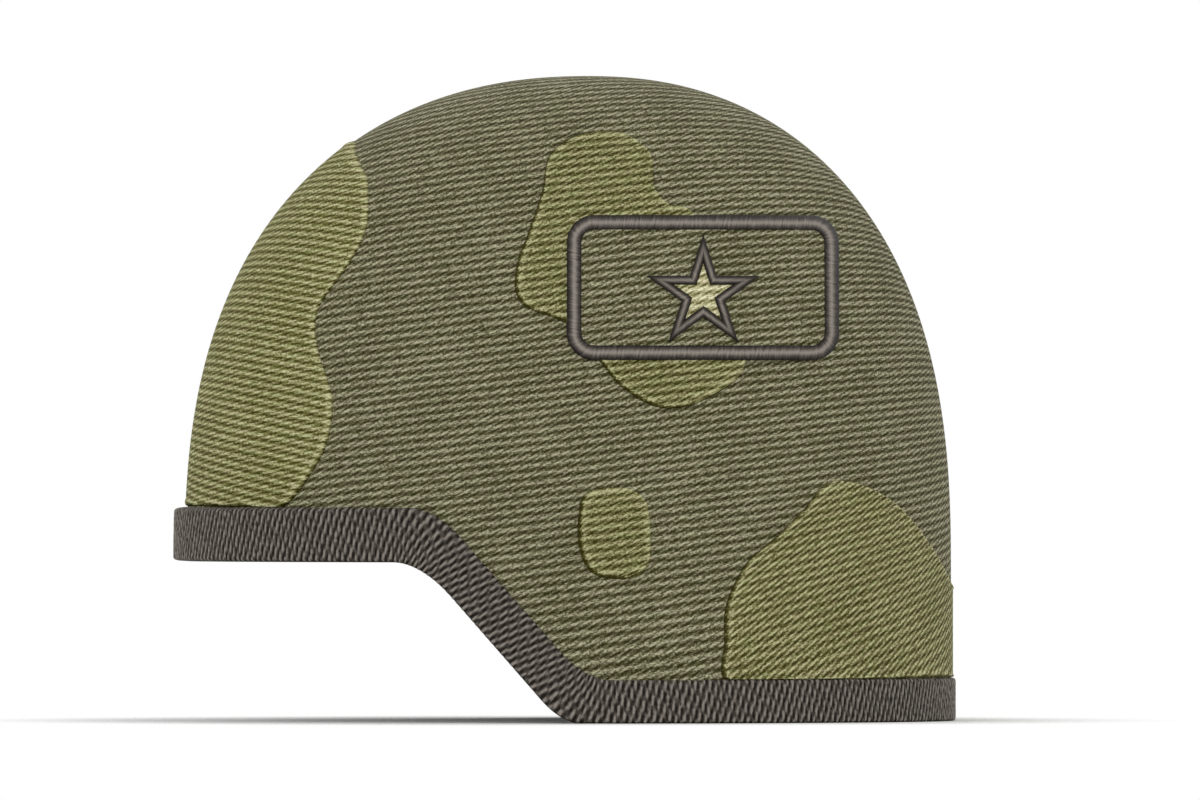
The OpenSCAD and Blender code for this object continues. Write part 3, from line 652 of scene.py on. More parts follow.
CAMOUFLAGE = {
    "camo_front": ("front", "camo_light", (4, 122), [
        (-12, 70), (-1, 70), (10, 70), (20, 70), (31, 70), (41, 70), (47.5, 84), (49.5, 95),
        (49, 107), (44.5, 122), (42.5, 134), (45.5, 146), (47, 156), (45.5, 165), (40, 175),
        (34, 180), (26, 184), (18, 187), (10, 189), (-1, 189.5), (-12, 188), (-22, 184), (-30, 178),
        (-39, 160), (-37, 142), (-43, 122), (-40, 98), (-33, 88), (-22, 76)]),
    "camo_upper": ("upper", "camo_mid", (97, 148), [
        (102.5, 102), (110.5, 106), (117, 117), (116, 141), (112, 165), (107, 168.5), (104.5, 175),
        (105.5, 186), (99, 192), (88, 191.5), (81.5, 185), (81, 173), (79.5, 160), (78, 147),
        (79.5, 136), (87, 129), (92, 117), (96, 108)]),
    "camo_small": ("upper", "camo_mid", (94.2, 61.5), [
        (94, 46.8), (97.6, 47.5), (99.6, 52), (99.8, 61.5), (99.3, 71), (97, 75.6), (92.8, 76.4),
        (89.5, 74), (88.6, 67), (88.7, 57), (90.3, 49.2)]),
    "camo_rear": ("rear", "camo_warm", (160, 36), [
        (112, 14), (121, 14), (130, 14), (142, 14), (155, 14), (168, 14), (180, 14), (193, 14),
        (205, 14), (214, 15.5), (222, 18), (227, 30), (222, 40),
        (212, 42.5), (200, 42.5), (186, 43), (172.6, 46), (160, 57.5), (146.5, 72), (137, 78),
        (131, 77.6), (126, 69), (120, 59), (115.6, 52), (112.2, 39), (111.8, 26)]),
    "camo_right_brow": ("front", "camo_light", (285, 126), [
        (288, 98), (296, 106), (301, 122), (296, 136), (298, 150), (290, 160), (281, 155), (277, 140),
        (270, 128), (271, 112), (279, 103)]),
    "camo_right_ear": ("rear", "camo_warm", (262, 55), [
        (262, 26), (272, 33), (277, 48), (272, 60), (275, 74), (266, 82), (256, 76), (253, 62), (247, 50),
        (250, 34)]),
    "camo_right_crown": ("upper", "camo_mid", (240, 158), [
        (238, 126), (249, 134), (252, 150), (261, 162), (262, 178), (249, 188), (234, 184), (226, 170),
        (224, 150), (228, 134)]),
}


# Heights of a patch over the cover, how far in from its edge its bead and its painted highlight and shade
# lie, and the way that the edges with the least painted shade face
PATCH_RISE, PATCH_SINK, PATCH_ROOT = 0.72, 0.05, 0.3
BEAD_RISE, BEAD_IN, BEAD_W, DARK_W = 0.28, 1.5, 0.9, 3.4
LIT_EDGE_WAY, DARK_ALL_ROUND, DARK_ADDED = [0.4, 0, 0.3], 0.48, 0.52
OVER_BAND = 0.3


def camouflage_patch(node, paint, slot, middle, outline):
    """A blob of fill stitches with a raised, rounded edge, down on the cover."""
    form = Form()
    outline = spline(outline, 9)
    middle = np.array(middle, float)
    rows = np.concatenate([np.linspace(0.04, 0.92, 23), np.linspace(0.93, 1, 12)])

    def on_cover(t, depth):
        p = middle + (outline[None] - middle) * t[:, None, None]
        z = np.maximum(p[..., 1], rim_high(rim_x(p[..., 0])) + OVER_BAND)
        return dome(p[..., 0], z, depth)

    flat = on_cover(rows, 0.0)
    heart = dome(*middle, 0.0)
    span = np.linalg.norm(flat[-1] - heart, axis=-1)
    inwards = (1 - rows)[:, None] * span[None]
    bead = BEAD_RISE * np.exp(-((inwards - BEAD_IN) / BEAD_W) ** 2)
    fall = np.clip(inwards / BEAD_W, 0, 1)
    lift = (PATCH_RISE + bead) * np.sqrt(1 - (1 - fall) ** 2) - PATCH_SINK
    raised = on_cover(rows, -lift)
    # The third cloth coordinate rises towards the edge; it paints a highlight along the bead and shade at the
    # very edge, the painted shade strongest where the edge faces the brow or the rim
    outwards = np.cross(np.roll(flat[-1], -1, 0) - np.roll(flat[-1], 1, 0), flat[-1] - DOME_MIDDLE)
    shaded = 0.5 - outwards @ LIT_EDGE_WAY / np.linalg.norm(outwards, axis=1)
    lays = side_lay(flat)
    lays[..., 2] = np.clip(1 - inwards / DARK_W, 0, 1) * (DARK_ALL_ROUND + DARK_ADDED * shaded)
    under = on_cover(np.array([0.95, 0.6, 0.3]), PATCH_ROOT)
    rings = np.concatenate([raised, under])
    at = form.run(rings, np.concatenate([lays, side_lay(under)]), capped=False)
    form.close(at[0], dome(*middle, PATCH_SINK - PATCH_RISE), side_lay(heart))
    form.close(at[-1], dome(*middle, PATCH_ROOT), side_lay(heart))
    return form.make(node + "_patch", paint, slot, "helmet", node)


# ---- The badge


BADGE_X, BADGE_Z, BADGE_W, BADGE_H, BADGE_CORNER, CORD_W = 45.1, 141.3, 88.6, 47.2, 9.0, 5.0
FIELD_TOP, FIELD_UNDER = -1.05, -0.2
BORDER_FOOT, BORDER_RISE, BORDER_RIB, RIB_OUT, RIB_UP = 0.35, 1.45, 0.78, 0.02, 0.07
STAR_X, STAR_Z, STAR_REACH, STAR_INNER, STAR_WAIST = 45.15, 139.1, 19.5, 10.0, 0.382
STAR_FOOT, STAR_RISE, STAR_RIB, STAR_RIB_UP = 0.95, 1.3, 0.72, 0.08
FILL_TOP, FILL_CROWN, FILL_ROOT = 1.5, 0.4, 0.8


def rounded_rectangle(width, height, radius, gap):
    """Points about gap apart round a rounded rectangle, with the outward angle at each."""
    half = np.array([width / 2 - radius, height / 2 - radius])
    quarters = ((1, 1), (-1, 1), (-1, -1), (1, -1))

    def on_corner(n, t):
        return half * quarters[n % 4] + radius * np.array([math.cos(t), math.sin(t)])

    out = []
    for n in range(4):
        steps = max(6, round(radius * math.pi / 2 / gap))
        for k in range(steps):
            t = math.radians(90 * n + 90 * k / steps)
            out.append((*on_corner(n, t), t))
        t = math.radians(90 * n + 90)
        first, last = on_corner(n, t), on_corner(n + 1, t)
        steps = max(2, round(np.linalg.norm(last - first) / gap))
        out += [(*(first + (last - first) * k / steps), t) for k in range(steps)]
    return np.array(out)


def border_line(gap):
    """Along the middle of the badge's border."""
    return rounded_rectangle(BADGE_W - CORD_W, BADGE_H - CORD_W, BADGE_CORNER - CORD_W / 2, gap)


def filled(form, rings, ends):
    """Skins rings and fans the first and last to points of the left side, given as x, z and depth."""
    at = form.run(rings, side_lay(rings), capped=False)
    for ring, end in zip((at[0], at[-1]), ends):
        point = left_side(*end)
        form.close(ring, point, side_lay(point))


def badge_field():
    """The badge's ground: the same fill as the cover, over the camouflage behind it."""
    form = Form()
    t = np.linspace(0.06, 1, 16)
    p = [BADGE_X, BADGE_Z] + border_line(3.0)[None, :, :2] * t[:, None, None]
    top, under = (left_side(p[..., 0], p[..., 1], depth) for depth in (FIELD_TOP, FIELD_UNDER))
    rings = np.concatenate([top, under[::-5]])
    filled(form, rings, [(BADGE_X, BADGE_Z, FIELD_TOP), (BADGE_X, BADGE_Z, FIELD_UNDER)])
    return form.make("badge_field", "cover", "badge_cloth", "helmet", "badge_ground")


def satin_section(count):
    """A low arch as pairs of offset, -1 to 1, and rise, 0 to 1, with its two feet turned in."""
    t = np.linspace(0, math.pi, count)
    return np.cos(t), np.sin(t) ** 0.75


def badge_cord():
    """The badge's border in satin stitches, four sections to each."""
    form = Form()
    line = border_line(BORDER_RIB / 4)
    s = lengths(np.vstack([line[:, :2], line[:1, :2]]))
    ribs = round(s[-1] / BORDER_RIB)
    s = s[:-1] * ribs * BORDER_RIB / s[-1]
    offset, rise = satin_section(13)
    wave = np.cos(s / BORDER_RIB * math.tau)[:, None]
    out = offset[None] * CORD_W / 2 * (1 + RIB_OUT * wave)
    x = BADGE_X + line[:, None, 0] + out * np.cos(line[:, None, 2])
    z = BADGE_Z + line[:, None, 1] + out * np.sin(line[:, None, 2])
    rings = left_side(x, z, -BORDER_FOOT - BORDER_RISE * rise[None] * (1 + RIB_UP * wave))
    # The third cloth coordinate, highest along the cord's middle, paints its highlight there and its shade at
    # the edges
    form.run(rings, columns(s[:, None], out, 1 - np.abs(offset)), loop=True)
    return form.make("badge_cord", "cord", "badge_cord", "helmet", "badge_border")


def star_corner(k, radius):
    """Corner k of a star: the even ones are its points, and the odd ones lie between them."""
    r = radius if k % 2 == 0 else radius * STAR_WAIST
    t = math.radians(90 + 36 * k)
    return np.array([STAR_X + r * math.cos(t), STAR_Z + r * math.sin(t)])


def star_line():
    """The star's outline in satin stitches, mitred at each corner."""
    form = Form()
    steps = 64
    offset, rise = satin_section(11)
    across = (offset + 1) / 2
    rings, lays = [], []
    s = 0.0
    for k in range(10):
        outer, outer_next = star_corner(k, STAR_REACH), star_corner(k + 1, STAR_REACH)
        inner, inner_next = star_corner(k, STAR_INNER), star_corner(k + 1, STAR_INNER)
        long = np.linalg.norm(outer_next - outer)
        for step in range(steps):
            f = step / steps
            p, q = outer + (outer_next - outer) * f, inner + (inner_next - inner) * f
            line = p + (q - p) * across[:, None]
            here = s + long * f
            wave = 1 + STAR_RIB_UP * math.cos(here / STAR_RIB * math.tau)
            rings.append(left_side(line[:, 0], line[:, 1], -STAR_FOOT - STAR_RISE * rise * wave))
            # The third cloth coordinate, highest along the line's middle, paints its highlight there and its
            # shade at the edges
            lays.append(columns(here, across * 3, 1 - np.abs(offset)))
        s += long
    form.run(rings, np.array(lays), loop=True)
    return form.make("star_line", "cord", "badge_cord", "helmet", "star_outline")


def star_fill():
    """The star's pale middle, a little crowned."""
    form = Form()
    corners = np.array([star_corner(k, STAR_INNER - 0.05) for k in range(11)])[:, None]
    sides = corners[:-1] + (corners[1:] - corners[:-1]) * np.linspace(0, 0.75, 4)[:, None]
    outline = sides.reshape(-1, 2)
    middle = np.array([STAR_X, STAR_Z])
    t = np.linspace(0.15, 1, 8)
    p = middle + (outline[None] - middle) * t[:, None, None]
    crown = -FILL_TOP - FILL_CROWN * (1 - t[:, None] ** 2)
    top, under = left_side(p[..., 0], p[..., 1], crown), left_side(p[-1:, :, 0], p[-1:, :, 1], -FILL_ROOT)
    filled(form, np.concatenate([top, under]), [(*middle, -FILL_TOP - FILL_CROWN), (*middle, -FILL_ROOT)])
    return form.make("star_fill", "star", "star_thread", "helmet", "star_centre")


# ---- The stitched edge band


# The band's stitches: spacing and lean of the long set and of the finer set across it, and their relief,
# to which the tufts along the foot add
STATION_GAP, STITCH_RELIEF, RELIEF_SUNK = 0.32, 0.5, 0.12
LONG_PITCH, LONG_LEAN, CROSS_PITCH, CROSS_LEAN = 2.33, 18.7, 1.62, -7.8
LONG_HIGH, CROSS_HIGH, TUFT_HIGH, TUFT_UP, TUFT_W = 0.34, 0.22, 0.1, 1.6, 0.8
INNER_TALL = 16.0


def band_section():
    """The binding's section, from the inside round the foot and the face to the channel that holds the rim.

    Its columns are the share of the band's width up from the foot, the share of how far the band stands
    proud, the depth below the cover's outside, and whether the place is hidden."""
    inside = [(0.62, 10.9), (0.45, 11.0), (0.3, 11.0), (0.18, 11.0), (0.09, 10.9), (0.04, 10.4), (0.012, 9.4),
              (0.0, 7.5), (0.0, 5.0), (0.0, 2.6)]
    foot = [(0.0, 0.0, 0.9), (0.012, 0.55, 0.0), (0.03, 0.85, 0.0)]
    face = [(h, 1.0, 0.0) for h in np.linspace(0.06, 0.93, 30)]
    top = [(0.965, 0.9, 0.0), (0.99, 0.6, 0.0), (1.0, 0.25, 0.0), (0.99, -0.25, 0.0)]
    channel = [(0.8, 0.35), (0.5, 0.35), (0.2, 0.35), (0.16, 5.0), (0.16, 9.4),
               (0.3, 9.7), (0.5, 9.7), (0.6, 10.0)]
    inside, channel = ([(h, 0.0, depth, 1) for h, depth in side] for side in (inside, channel))
    up, proud, depth, hidden = np.array(inside + [(*row, 0) for row in foot + face + top] + channel).T
    return up, proud, depth, hidden == 1


def band_stations():
    """Even places along the middle of the band, and its whole length.

    Each has its running length, angle, width, tilt in radians and millimetres to a degree."""
    samples = np.linspace(0, 360, 7201)
    x = rim_x(samples)
    middle = (rim_low(x) + rim_high(x)) / 2
    run = lengths(dome(samples, middle, 0.0))
    stations = np.linspace(0, run[-1], round(run[-1] / STATION_GAP), endpoint=False)
    a = np.interp(stations, run, samples)
    x, z_mid = rim_x(a), np.interp(a, samples, middle)
    wide = rim_high(x) - rim_low(x)
    ahead = np.interp((a + 0.5) % 360, samples, middle) - np.interp((a - 0.5) % 360, samples, middle)
    per_degree = np.linalg.norm(dome(a + 0.5, z_mid, 0.0) - dome(a - 0.5, z_mid, 0.0), axis=-1)
    tilt = np.arctan2(ahead, per_degree)
    tilt = np.convolve(np.concatenate([tilt[-20:], tilt, tilt[:20]]), np.ones(41) / 41, "valid")
    return stations, a, wide, tilt, per_degree, run[-1]


def edge_binding():
    """A bound edge right round the rim: leaning stitches, broken by a finer set that leans the other way."""
    form = Form()
    stations, a, wide, tilt, per_degree, whole_run = band_stations()
    # Each section leans square to the band's run, and ends on the rim's own lower and upper lines
    aside = wide / 2 * np.sin(tilt) * np.cos(tilt) / per_degree
    a_low, a_high = (a + aside)[:, None], (a - aside)[:, None]
    z_low, z_high = rim_low(rim_x(a_low)), rim_high(rim_x(a_high))
    wide = (wide * np.cos(tilt))[:, None]
    proud = PROUD_REAR + (PROUD_FRONT - PROUD_REAR) * np.maximum(0, np.cos(np.radians(a))) ** 2

    share_up, proud_share, extra, hidden = band_section()
    inner = hidden & (extra >= 9)
    up = share_up * np.where(inner, np.minimum(wide, INNER_TALL), wide)
    s = stations[:, None]

    def slanting(pitch, lean):
        count = round(whole_run * math.cos(math.radians(lean)) / pitch)
        return np.cos(math.tau * (s / whole_run * count - up * math.sin(math.radians(lean)) / pitch))

    tufts = np.exp(-((up - TUFT_UP) / TUFT_W) ** 2)
    long_set, cross_set = slanting(LONG_PITCH, LONG_LEAN), slanting(CROSS_PITCH, CROSS_LEAN)
    high = np.clip(0.5 + (LONG_HIGH + TUFT_HIGH * tufts) * long_set + CROSS_HIGH * cross_set, 0, 1)
    shown = np.where((hidden & (extra >= 10)) | (~hidden & (share_up > 0)), 1.0, 0.3)
    side = np.where(inner, 1.0, -1.0)
    depth = extra - proud[:, None] * proud_share + (STITCH_RELIEF * high * shown - RELIEF_SUNK) * side
    part = up / wide
    foot = np.maximum(z_low + (z_high - z_low) * part, 0)
    # The stitches' height also goes into the cloth coordinates, where it paints the thread's highlight on
    # their tops
    form.run(dome(a_low + (a_high - a_low) * part, foot, depth), columns(s, up, high), loop=True)
    return form.make("edge_binding", "trim", "edge_trim", "helmet", "edge_band")


# ---- Webbing, straps and cord


SELVEDGE = 1.2


def tape_section(width, thick, count=9):
    """Offsets across a tape and out of it, round its rounded outline."""
    flat = np.linspace(-1, 1, count) * (width / 2 - thick / 2)
    bend = np.radians(np.linspace(90, -90, 5))[1:-1]
    over, aside, level = thick / 2 * np.sin(bend), thick / 2 * np.cos(bend), np.full(count, thick / 2)
    across = np.concatenate([flat, flat[-1] + aside, flat[::-1], flat[0] - aside])
    return across, np.concatenate([level, over, -level, -over])


def tape(form, line, wide_way, out_way, width, thick, loop=False):
    """Webbing along a line, given the direction across it and the direction out of it at each point."""
    line, wide_way, out_way = (np.asarray(v, float) for v in (line, wide_way, out_way))
    across, out = tape_section(width, thick)
    rings = line[:, None] + across[None, :, None] * wide_way[:, None] + out[None, :, None] * out_way[:, None]
    s = lengths(line)[:, None]
    edge = np.clip((np.abs(across) - width / 2 + SELVEDGE) / SELVEDGE, 0, 1)
    form.run(rings, columns(s, across, edge), loop=loop)


def stitch(form, middle, along, out, half=0.95, rise=0.25, thick=0.28):
    """One stitch of thread that lies along a surface, with its middle standing out of it."""
    t = np.linspace(0, math.pi, 5)
    arc = middle + np.outer(np.cos(t) * half, along) + np.outer(np.sin(t) * rise, out)
    aside = np.cross(along, out)
    form.run(arc[:, None] + thick * np.array([aside, out, -aside, -out])[None], [0, 0, 0])


def stitch_row(form, middle, across, out, half_width, gap=2.6):
    """A row of sewing across a tape."""
    for place in np.arange(-half_width, half_width + 0.01, gap):
        stitch(form, middle + across * place, across, out)


SEAM_UP = 8.2


def suspension():
    """The head band of stiff webbing, with a line of sewing along each edge."""
    form, thread = Form(), Form()
    angles = np.arange(0, 360, 1.5)
    flat = dome(angles, WEB_LOW, WEB_OUT + WEB_THICK / 2)
    line = columns(flat[:, 0], flat[:, 1], WEB_LOW + WEB_TALL / 2)
    out, up = outward(angles), np.tile([0, 0, 1.0], (len(flat), 1))
    tape(form, line, up, out, WEB_TALL, WEB_THICK - 0.1, loop=True)
    form.make("head_band", "webbing", "webbing", "helmet", "suspension_band")
    for k in range(0, len(line), 2):
        for height in (-SEAM_UP, SEAM_UP):
            for side in (-1, 1):
                face = line[k] + [0, 0, height] + side * out[k] * (WEB_THICK / 2 - 0.05)
                stitch(thread, face, np.cross(out[k], up[k]), side * out[k], half=1.5)
    thread.make("head_band_stitches", "thread", "webbing", "helmet")


STRAP_END = 0.29
CROWN_Z = DOME_Z + (DOME_RISE - STRAP_OUT) * (1 - STRAP_END ** SIDE_POWER) ** (1 / RISE_POWER)
LOOP_SET, LOOP_R, LOOP_WIDE, LOOP_THICK, CORD_R = 1.5, 2.85, 10, 0.8, 1.6
STRAP_STOP, STRAP_ROOT = 1.6, 4
STRAP_HALF, STRAP_NARROWS, STRAP_SELVEDGE, STRAP_EDGE = 9, 4, 7.6, 1.02


def cord_at(a):
    """Middle of the drawcord at an angle."""
    return dome(a, CROWN_Z, STRAP_OUT + STRAP_THICK / 2) - LOOP_SET * outward(a)


def crown_straps(name, node, angles):
    """Two straps that run from the head band to the crown, each turned back in a loop round the drawcord."""
    form, thread = Form(), Form()
    t, side = np.linspace(0, 1, 46), np.linspace(-1, 1, 11)
    z = CROWN_Z - STRAP_STOP - (CROWN_Z - WEB_LOW - STRAP_ROOT) * (1 - t) ** 2
    half = STRAP_HALF - STRAP_NARROWS * t ** 3
    for a in angles:
        per_degree = np.linalg.norm(dome(a + 1, z, STRAP_OUT) - dome(a - 1, z, STRAP_OUT), axis=-1) / 2
        turn = half / per_degree

        def strip(sides, depth):
            return dome(a + np.array(sides)[None] * turn[:, None], z[:, None], STRAP_OUT + depth)

        outer, inner = strip(side, 0.1), strip(side[::-1], STRAP_THICK - 0.1)
        selvedges = (strip([place], STRAP_THICK / 2) for place in (STRAP_EDGE, -STRAP_EDGE))
        rings = np.concatenate([outer, next(selvedges), inner, next(selvedges)], axis=1)
        across = np.concatenate([side, [STRAP_EDGE], side[::-1], [-STRAP_EDGE]]) * half[:, None]
        selvedge = (np.abs(across) > STRAP_SELVEDGE) * 1.0
        form.run(rings, columns(lengths(outer[:, 5])[:, None], across, selvedge))
        # The loop round the drawcord
        out = outward(float(a))
        way = np.array([-out[1], out[0], 0])
        u = np.radians(np.arange(0, 360, 15))
        round_way = np.cos(u)[:, None] * out + np.sin(u)[:, None] * np.array([0, 0, 1.0])
        loop_line = cord_at(float(a)) + LOOP_R * round_way
        tape(form, loop_line, np.tile(way, (len(u), 1)), round_way, LOOP_WIDE, LOOP_THICK, loop=True)
        # Sewing, on both faces: two rows at the band and two below the loop
        for k in (4, 6, 38, 41):
            tangent = outer[k + 1, 5] - outer[k - 1, 5]
            normal = np.cross(tangent, way) / np.linalg.norm(tangent)
            normal *= np.sign(np.dot(normal, outer[k, 5] - [DOME_X, 0, 60]))
            half_width = min(6.5, half[k] - 1.5)
            stitch_row(thread, outer[k, 5], way, normal, half_width)
            stitch_row(thread, inner[k, 5], way, -normal, half_width)
    form.make(name, "webbing", "webbing", "helmet", node)
    thread.make(name + "_stitches", "thread", "webbing", "helmet")


def drawcord():
    """The braided cord that gathers the six straps, with its ends through the cord lock."""
    form = Form()
    turn_r, tail_gap = 4.0, 2.3
    turn_x = cord_at(180.0)[0] + turn_r - 0.3

    def tail(side):
        t = np.radians(np.linspace(0, 90, 10))
        y = side * (tail_gap + turn_r - turn_r * np.cos(t))
        bend = columns(turn_x - turn_r * np.sin(t), y, CROWN_Z)
        straight = np.array([[turn_x + x, side * tail_gap, CROWN_Z] for x in (14, 11, 7, 3)])
        return np.concatenate([straight, bend])

    way = np.concatenate([tail(1), cord_at(np.arange(200, 523, 3.5)), tail(-1)[::-1]])
    along = np.gradient(way, axis=0)
    along /= np.linalg.norm(along, axis=1, keepdims=True)
    side = columns(-along[:, 1], along[:, 0], 0.0)
    u = np.radians(np.arange(0, 360, 30))
    rings = way[:, None] + CORD_R * (np.cos(u)[None, :, None] * side[:, None]
                                     + np.sin(u)[None, :, None] * np.array([0, 0, 1.0]))
    form.run(rings, columns(lengths(way)[:, None], u * CORD_R, 0.0))
    return form.make("drawcord", "drawcord", "drawcord", "helmet", "crown_drawcord")


# The sweatband's cushion: how plump it is, how much less at its edges, and its seams as shares of its height
PLUMP, PLUMP_FALL = 4.9, 1.5
SEAMS, SEAM_WIDE, SEAM_DEEP, SEAM_FACE, SEAM_GAP = (0.2, 0.8), 0.035, 0.9, 3.75, 1.9


def sweat_pad():
    """The padded leather sweatband: plump between two sewn seams, with a rolled edge top and bottom."""
    form, thread = Form(), Form()
    low, high = WEB_LOW + 0.5, WEB_LOW + WEB_TALL + 3
    angles = np.arange(0, 360, 1.2)
    # The section: the back against the head band, the rolled foot, the face and the rolled top
    z = np.concatenate([
        np.linspace(high - 2.5, low + 2.5, 8), [low + 0.8, low + 0.15, low + 0.1, low + 0.7],
        np.linspace(low + 1.6, high - 1.6, 26), [high - 0.7, high - 0.1, high - 0.1, high - 0.9]])
    rolled = [0.2, 0.9, 2.2, 3.3]
    face = np.concatenate([np.zeros(12), np.ones(26), np.zeros(4)])
    v = (z - low) / (high - low)
    crown = PLUMP - PLUMP_FALL * np.abs(2 * v - 1) ** 3
    for seam in SEAMS:
        crown = crown - SEAM_DEEP * np.exp(-((v - seam) / SEAM_WIDE) ** 2)
    edges = np.concatenate([np.zeros(8), rolled, np.zeros(26), rolled[::-1]])
    depth = SWEAT_OUT + np.where(face, crown, edges)
    a = angles[:, None]
    creases = np.sin(np.radians(a) * 53 + 3 * np.sin(np.radians(a) * 7))
    wrinkle = 0.16 * creases * np.exp(-((np.abs(v - 0.5) - 0.3) / 0.08) ** 2)
    form.run(dome(a, z, depth + wrinkle * face), columns(a * 1.9, z, 0.0), loop=True)
    band = form.make("sweat_leather", "leather", "leather", "helmet", "sweatband")
    for seam in SEAMS:
        height = low + seam * (high - low)
        for k in np.arange(0, 360, SEAM_GAP):
            p = dome(np.array([k, k + 1.1]), height, SWEAT_OUT + SEAM_FACE)
            middle = (p[0] + p[1]) / 2
            along = (p[1] - p[0]) / np.linalg.norm(p[1] - p[0])
            stitch(thread, middle, along, np.cross(along, [0, 0, -1.0]), rise=0.35)
    thread.make("sweat_stitches", "thread", "leather", "helmet")


PAD_A, PAD_Z, PAD_HALF_W, PAD_HALF_H, PAD_SQUARE = 180.0, 55.0, 19, 13, 5
PAD_ROOT, PAD_EDGE, PAD_THICK, PAD_CROWN, PAD_TOP = 0.1, 0.3, 6.2, 2.6, 8.9


def nape_foam():
    """A foam pad glued inside the shell at the nape, with soft edges."""
    form = Form()
    t = np.arange(72) * math.tau / 72

    def squared(v):
        return np.sign(v) * np.abs(v) ** (2 / PAD_SQUARE)

    edge = columns(PAD_HALF_W * squared(np.cos(t)), PAD_HALF_H * squared(np.sin(t)))
    f = np.concatenate([np.linspace(0.06, 0.9, 16), [0.93, 0.955, 0.975, 0.99, 0.998, 1.0]])
    rim = np.clip((1 - f) / 0.1, 0, 1)
    domed = np.sqrt(np.maximum(0, 1 - f ** 2))
    crown = PAD_THICK * np.sqrt(1 - (1 - rim) ** 2) + PAD_EDGE + PAD_CROWN * domed
    p = [PAD_A, PAD_Z] + edge[None] * f[:, None, None]
    front = dome(p[..., 0], p[..., 1], SHELL_IN + crown[:, None])
    back = dome(p[-1:, :, 0], p[-1:, :, 1], SHELL_IN + PAD_ROOT)
    at = form.run(np.concatenate([front, back]), [0, 0, 0], capped=False)
    form.close(at[0], dome(PAD_A, PAD_Z, SHELL_IN + PAD_TOP), [0, 0, 0])
    form.close(at[-1], dome(PAD_A, PAD_Z, SHELL_IN + PAD_ROOT), [0, 0, 0])
    pad = form.make("nape_foam", "foam", "foam", "helmet", "nape_pad")


# ---- The chinstrap, in its own frame: X along the stowed strap and Z across its width


PIVOT = np.array([-22.0, 0, 60.0])
STOW = math.radians(18.7)
STOWED = np.array([[math.cos(STOW), 0, -math.sin(STOW)], [0, 1, 0], [math.sin(STOW), 0, math.cos(STOW)]])
ACROSS = np.array([0, 0, 1.0]) @ STOWED
STRAP_REACH, STRAP_W = 137.0, 16.0
LOOP_Y, LOOP_T, LOOP_START, LOOP_BEND = 83.45, 1.5, 26.0, 70.0
PLATE_Y, PLATE_T, ANCHOR_Y, ANCHOR_T, ANCHOR_END = 86.4, 1.5, 84.9, 1.2, 44.0
TAB_TURN, TAB_L, TAB_W, TAB_T, TAB_GAP, TAB_HINGE = 6.0, 18.0, 13.0, 1.6, 1.7, 9.2
SEWN_HALF = 5.2


def stowed(points):
    """From the strap's own frame to the helmet's."""
    return np.asarray(points, float) @ STOWED + PIVOT


def loop_point(t, offset):
    """A point of the loop's bend at t degrees from the right arm, offset outwards."""
    t = np.radians(t)
    x = LOOP_BEND + (STRAP_REACH - LOOP_BEND + offset) * np.sin(t)
    return columns(x, (LOOP_Y + offset) * np.cos(t), 0.0)


def flat_tape(form, line, width, thick):
    """Webbing that lies along a line in the strap's plane, on edge."""
    line = np.asarray(line, float)
    along = np.gradient(line, axis=0)
    along /= np.linalg.norm(along, axis=1, keepdims=True)
    out = np.cross([0, 0, 1.0], along)
    up = np.tile([0, 0, 1.0], (len(line), 1))
    tape(form, stowed(line), up @ STOWED, out @ STOWED, width, thick)


def tab_frame(points):
    """From the snap tab's own frame to the strap's."""
    t = math.radians(TAB_TURN)
    turn = math.atan2(LOOP_Y * math.sin(t), (STRAP_REACH - LOOP_BEND) * math.cos(t))
    c, s = math.cos(turn), math.sin(turn)
    origin = np.array([LOOP_BEND + (STRAP_REACH - LOOP_BEND) * math.sin(t), -LOOP_Y * math.cos(t), 0])
    p = np.asarray(points, float)
    return columns(p[..., 0] * c - p[..., 1] * s, p[..., 0] * s + p[..., 1] * c, p[..., 2]) + origin


def chin_loop():
    """The chin webbing with its two arms and its bend, and the root of the snap tab sewn on it."""
    form, thread = Form(), Form()
    right = columns(np.linspace(LOOP_START, LOOP_BEND, 16)[:-1], LOOP_Y, 0.0)
    left = right[::-1] * [1, -1, 1]
    bend = loop_point(np.arange(0, 181, 3.0), 0.0)
    line = np.concatenate([right, bend, left])
    flat_tape(form, line, STRAP_W, LOOP_T - 0.1)
    root = tab_frame([[TAB_HINGE + 0.3 + x, 1.15, 0] for x in (0, 1.3, 2.6, 3.8)])
    flat_tape(form, root, TAB_W, 0.75)
    form.make("chin_webbing", "chin_webbing", "webbing", "chin_loop", "chinstrap_loop")
    for side in (-1, 1):
        for x in (29, 31.4):
            inside = stowed([x, side * (LOOP_Y - LOOP_T / 2 + 0.05), 0])
            stitch_row(thread, inside, ACROSS, np.array([0, -side, 0.0]), SEWN_HALF)
    thread.make("chin_stitches", "thread", "webbing", "chin_loop")


# Along each anchor strap: the plate's bar and the bend round it, and the upper layer's slope to the lower
BAR_X, BAR_R, BAR_END, SLOPE_X, SLOPE_L, SLOPE_END = 12.0, 0.6, 12.4, 20, 7, 30


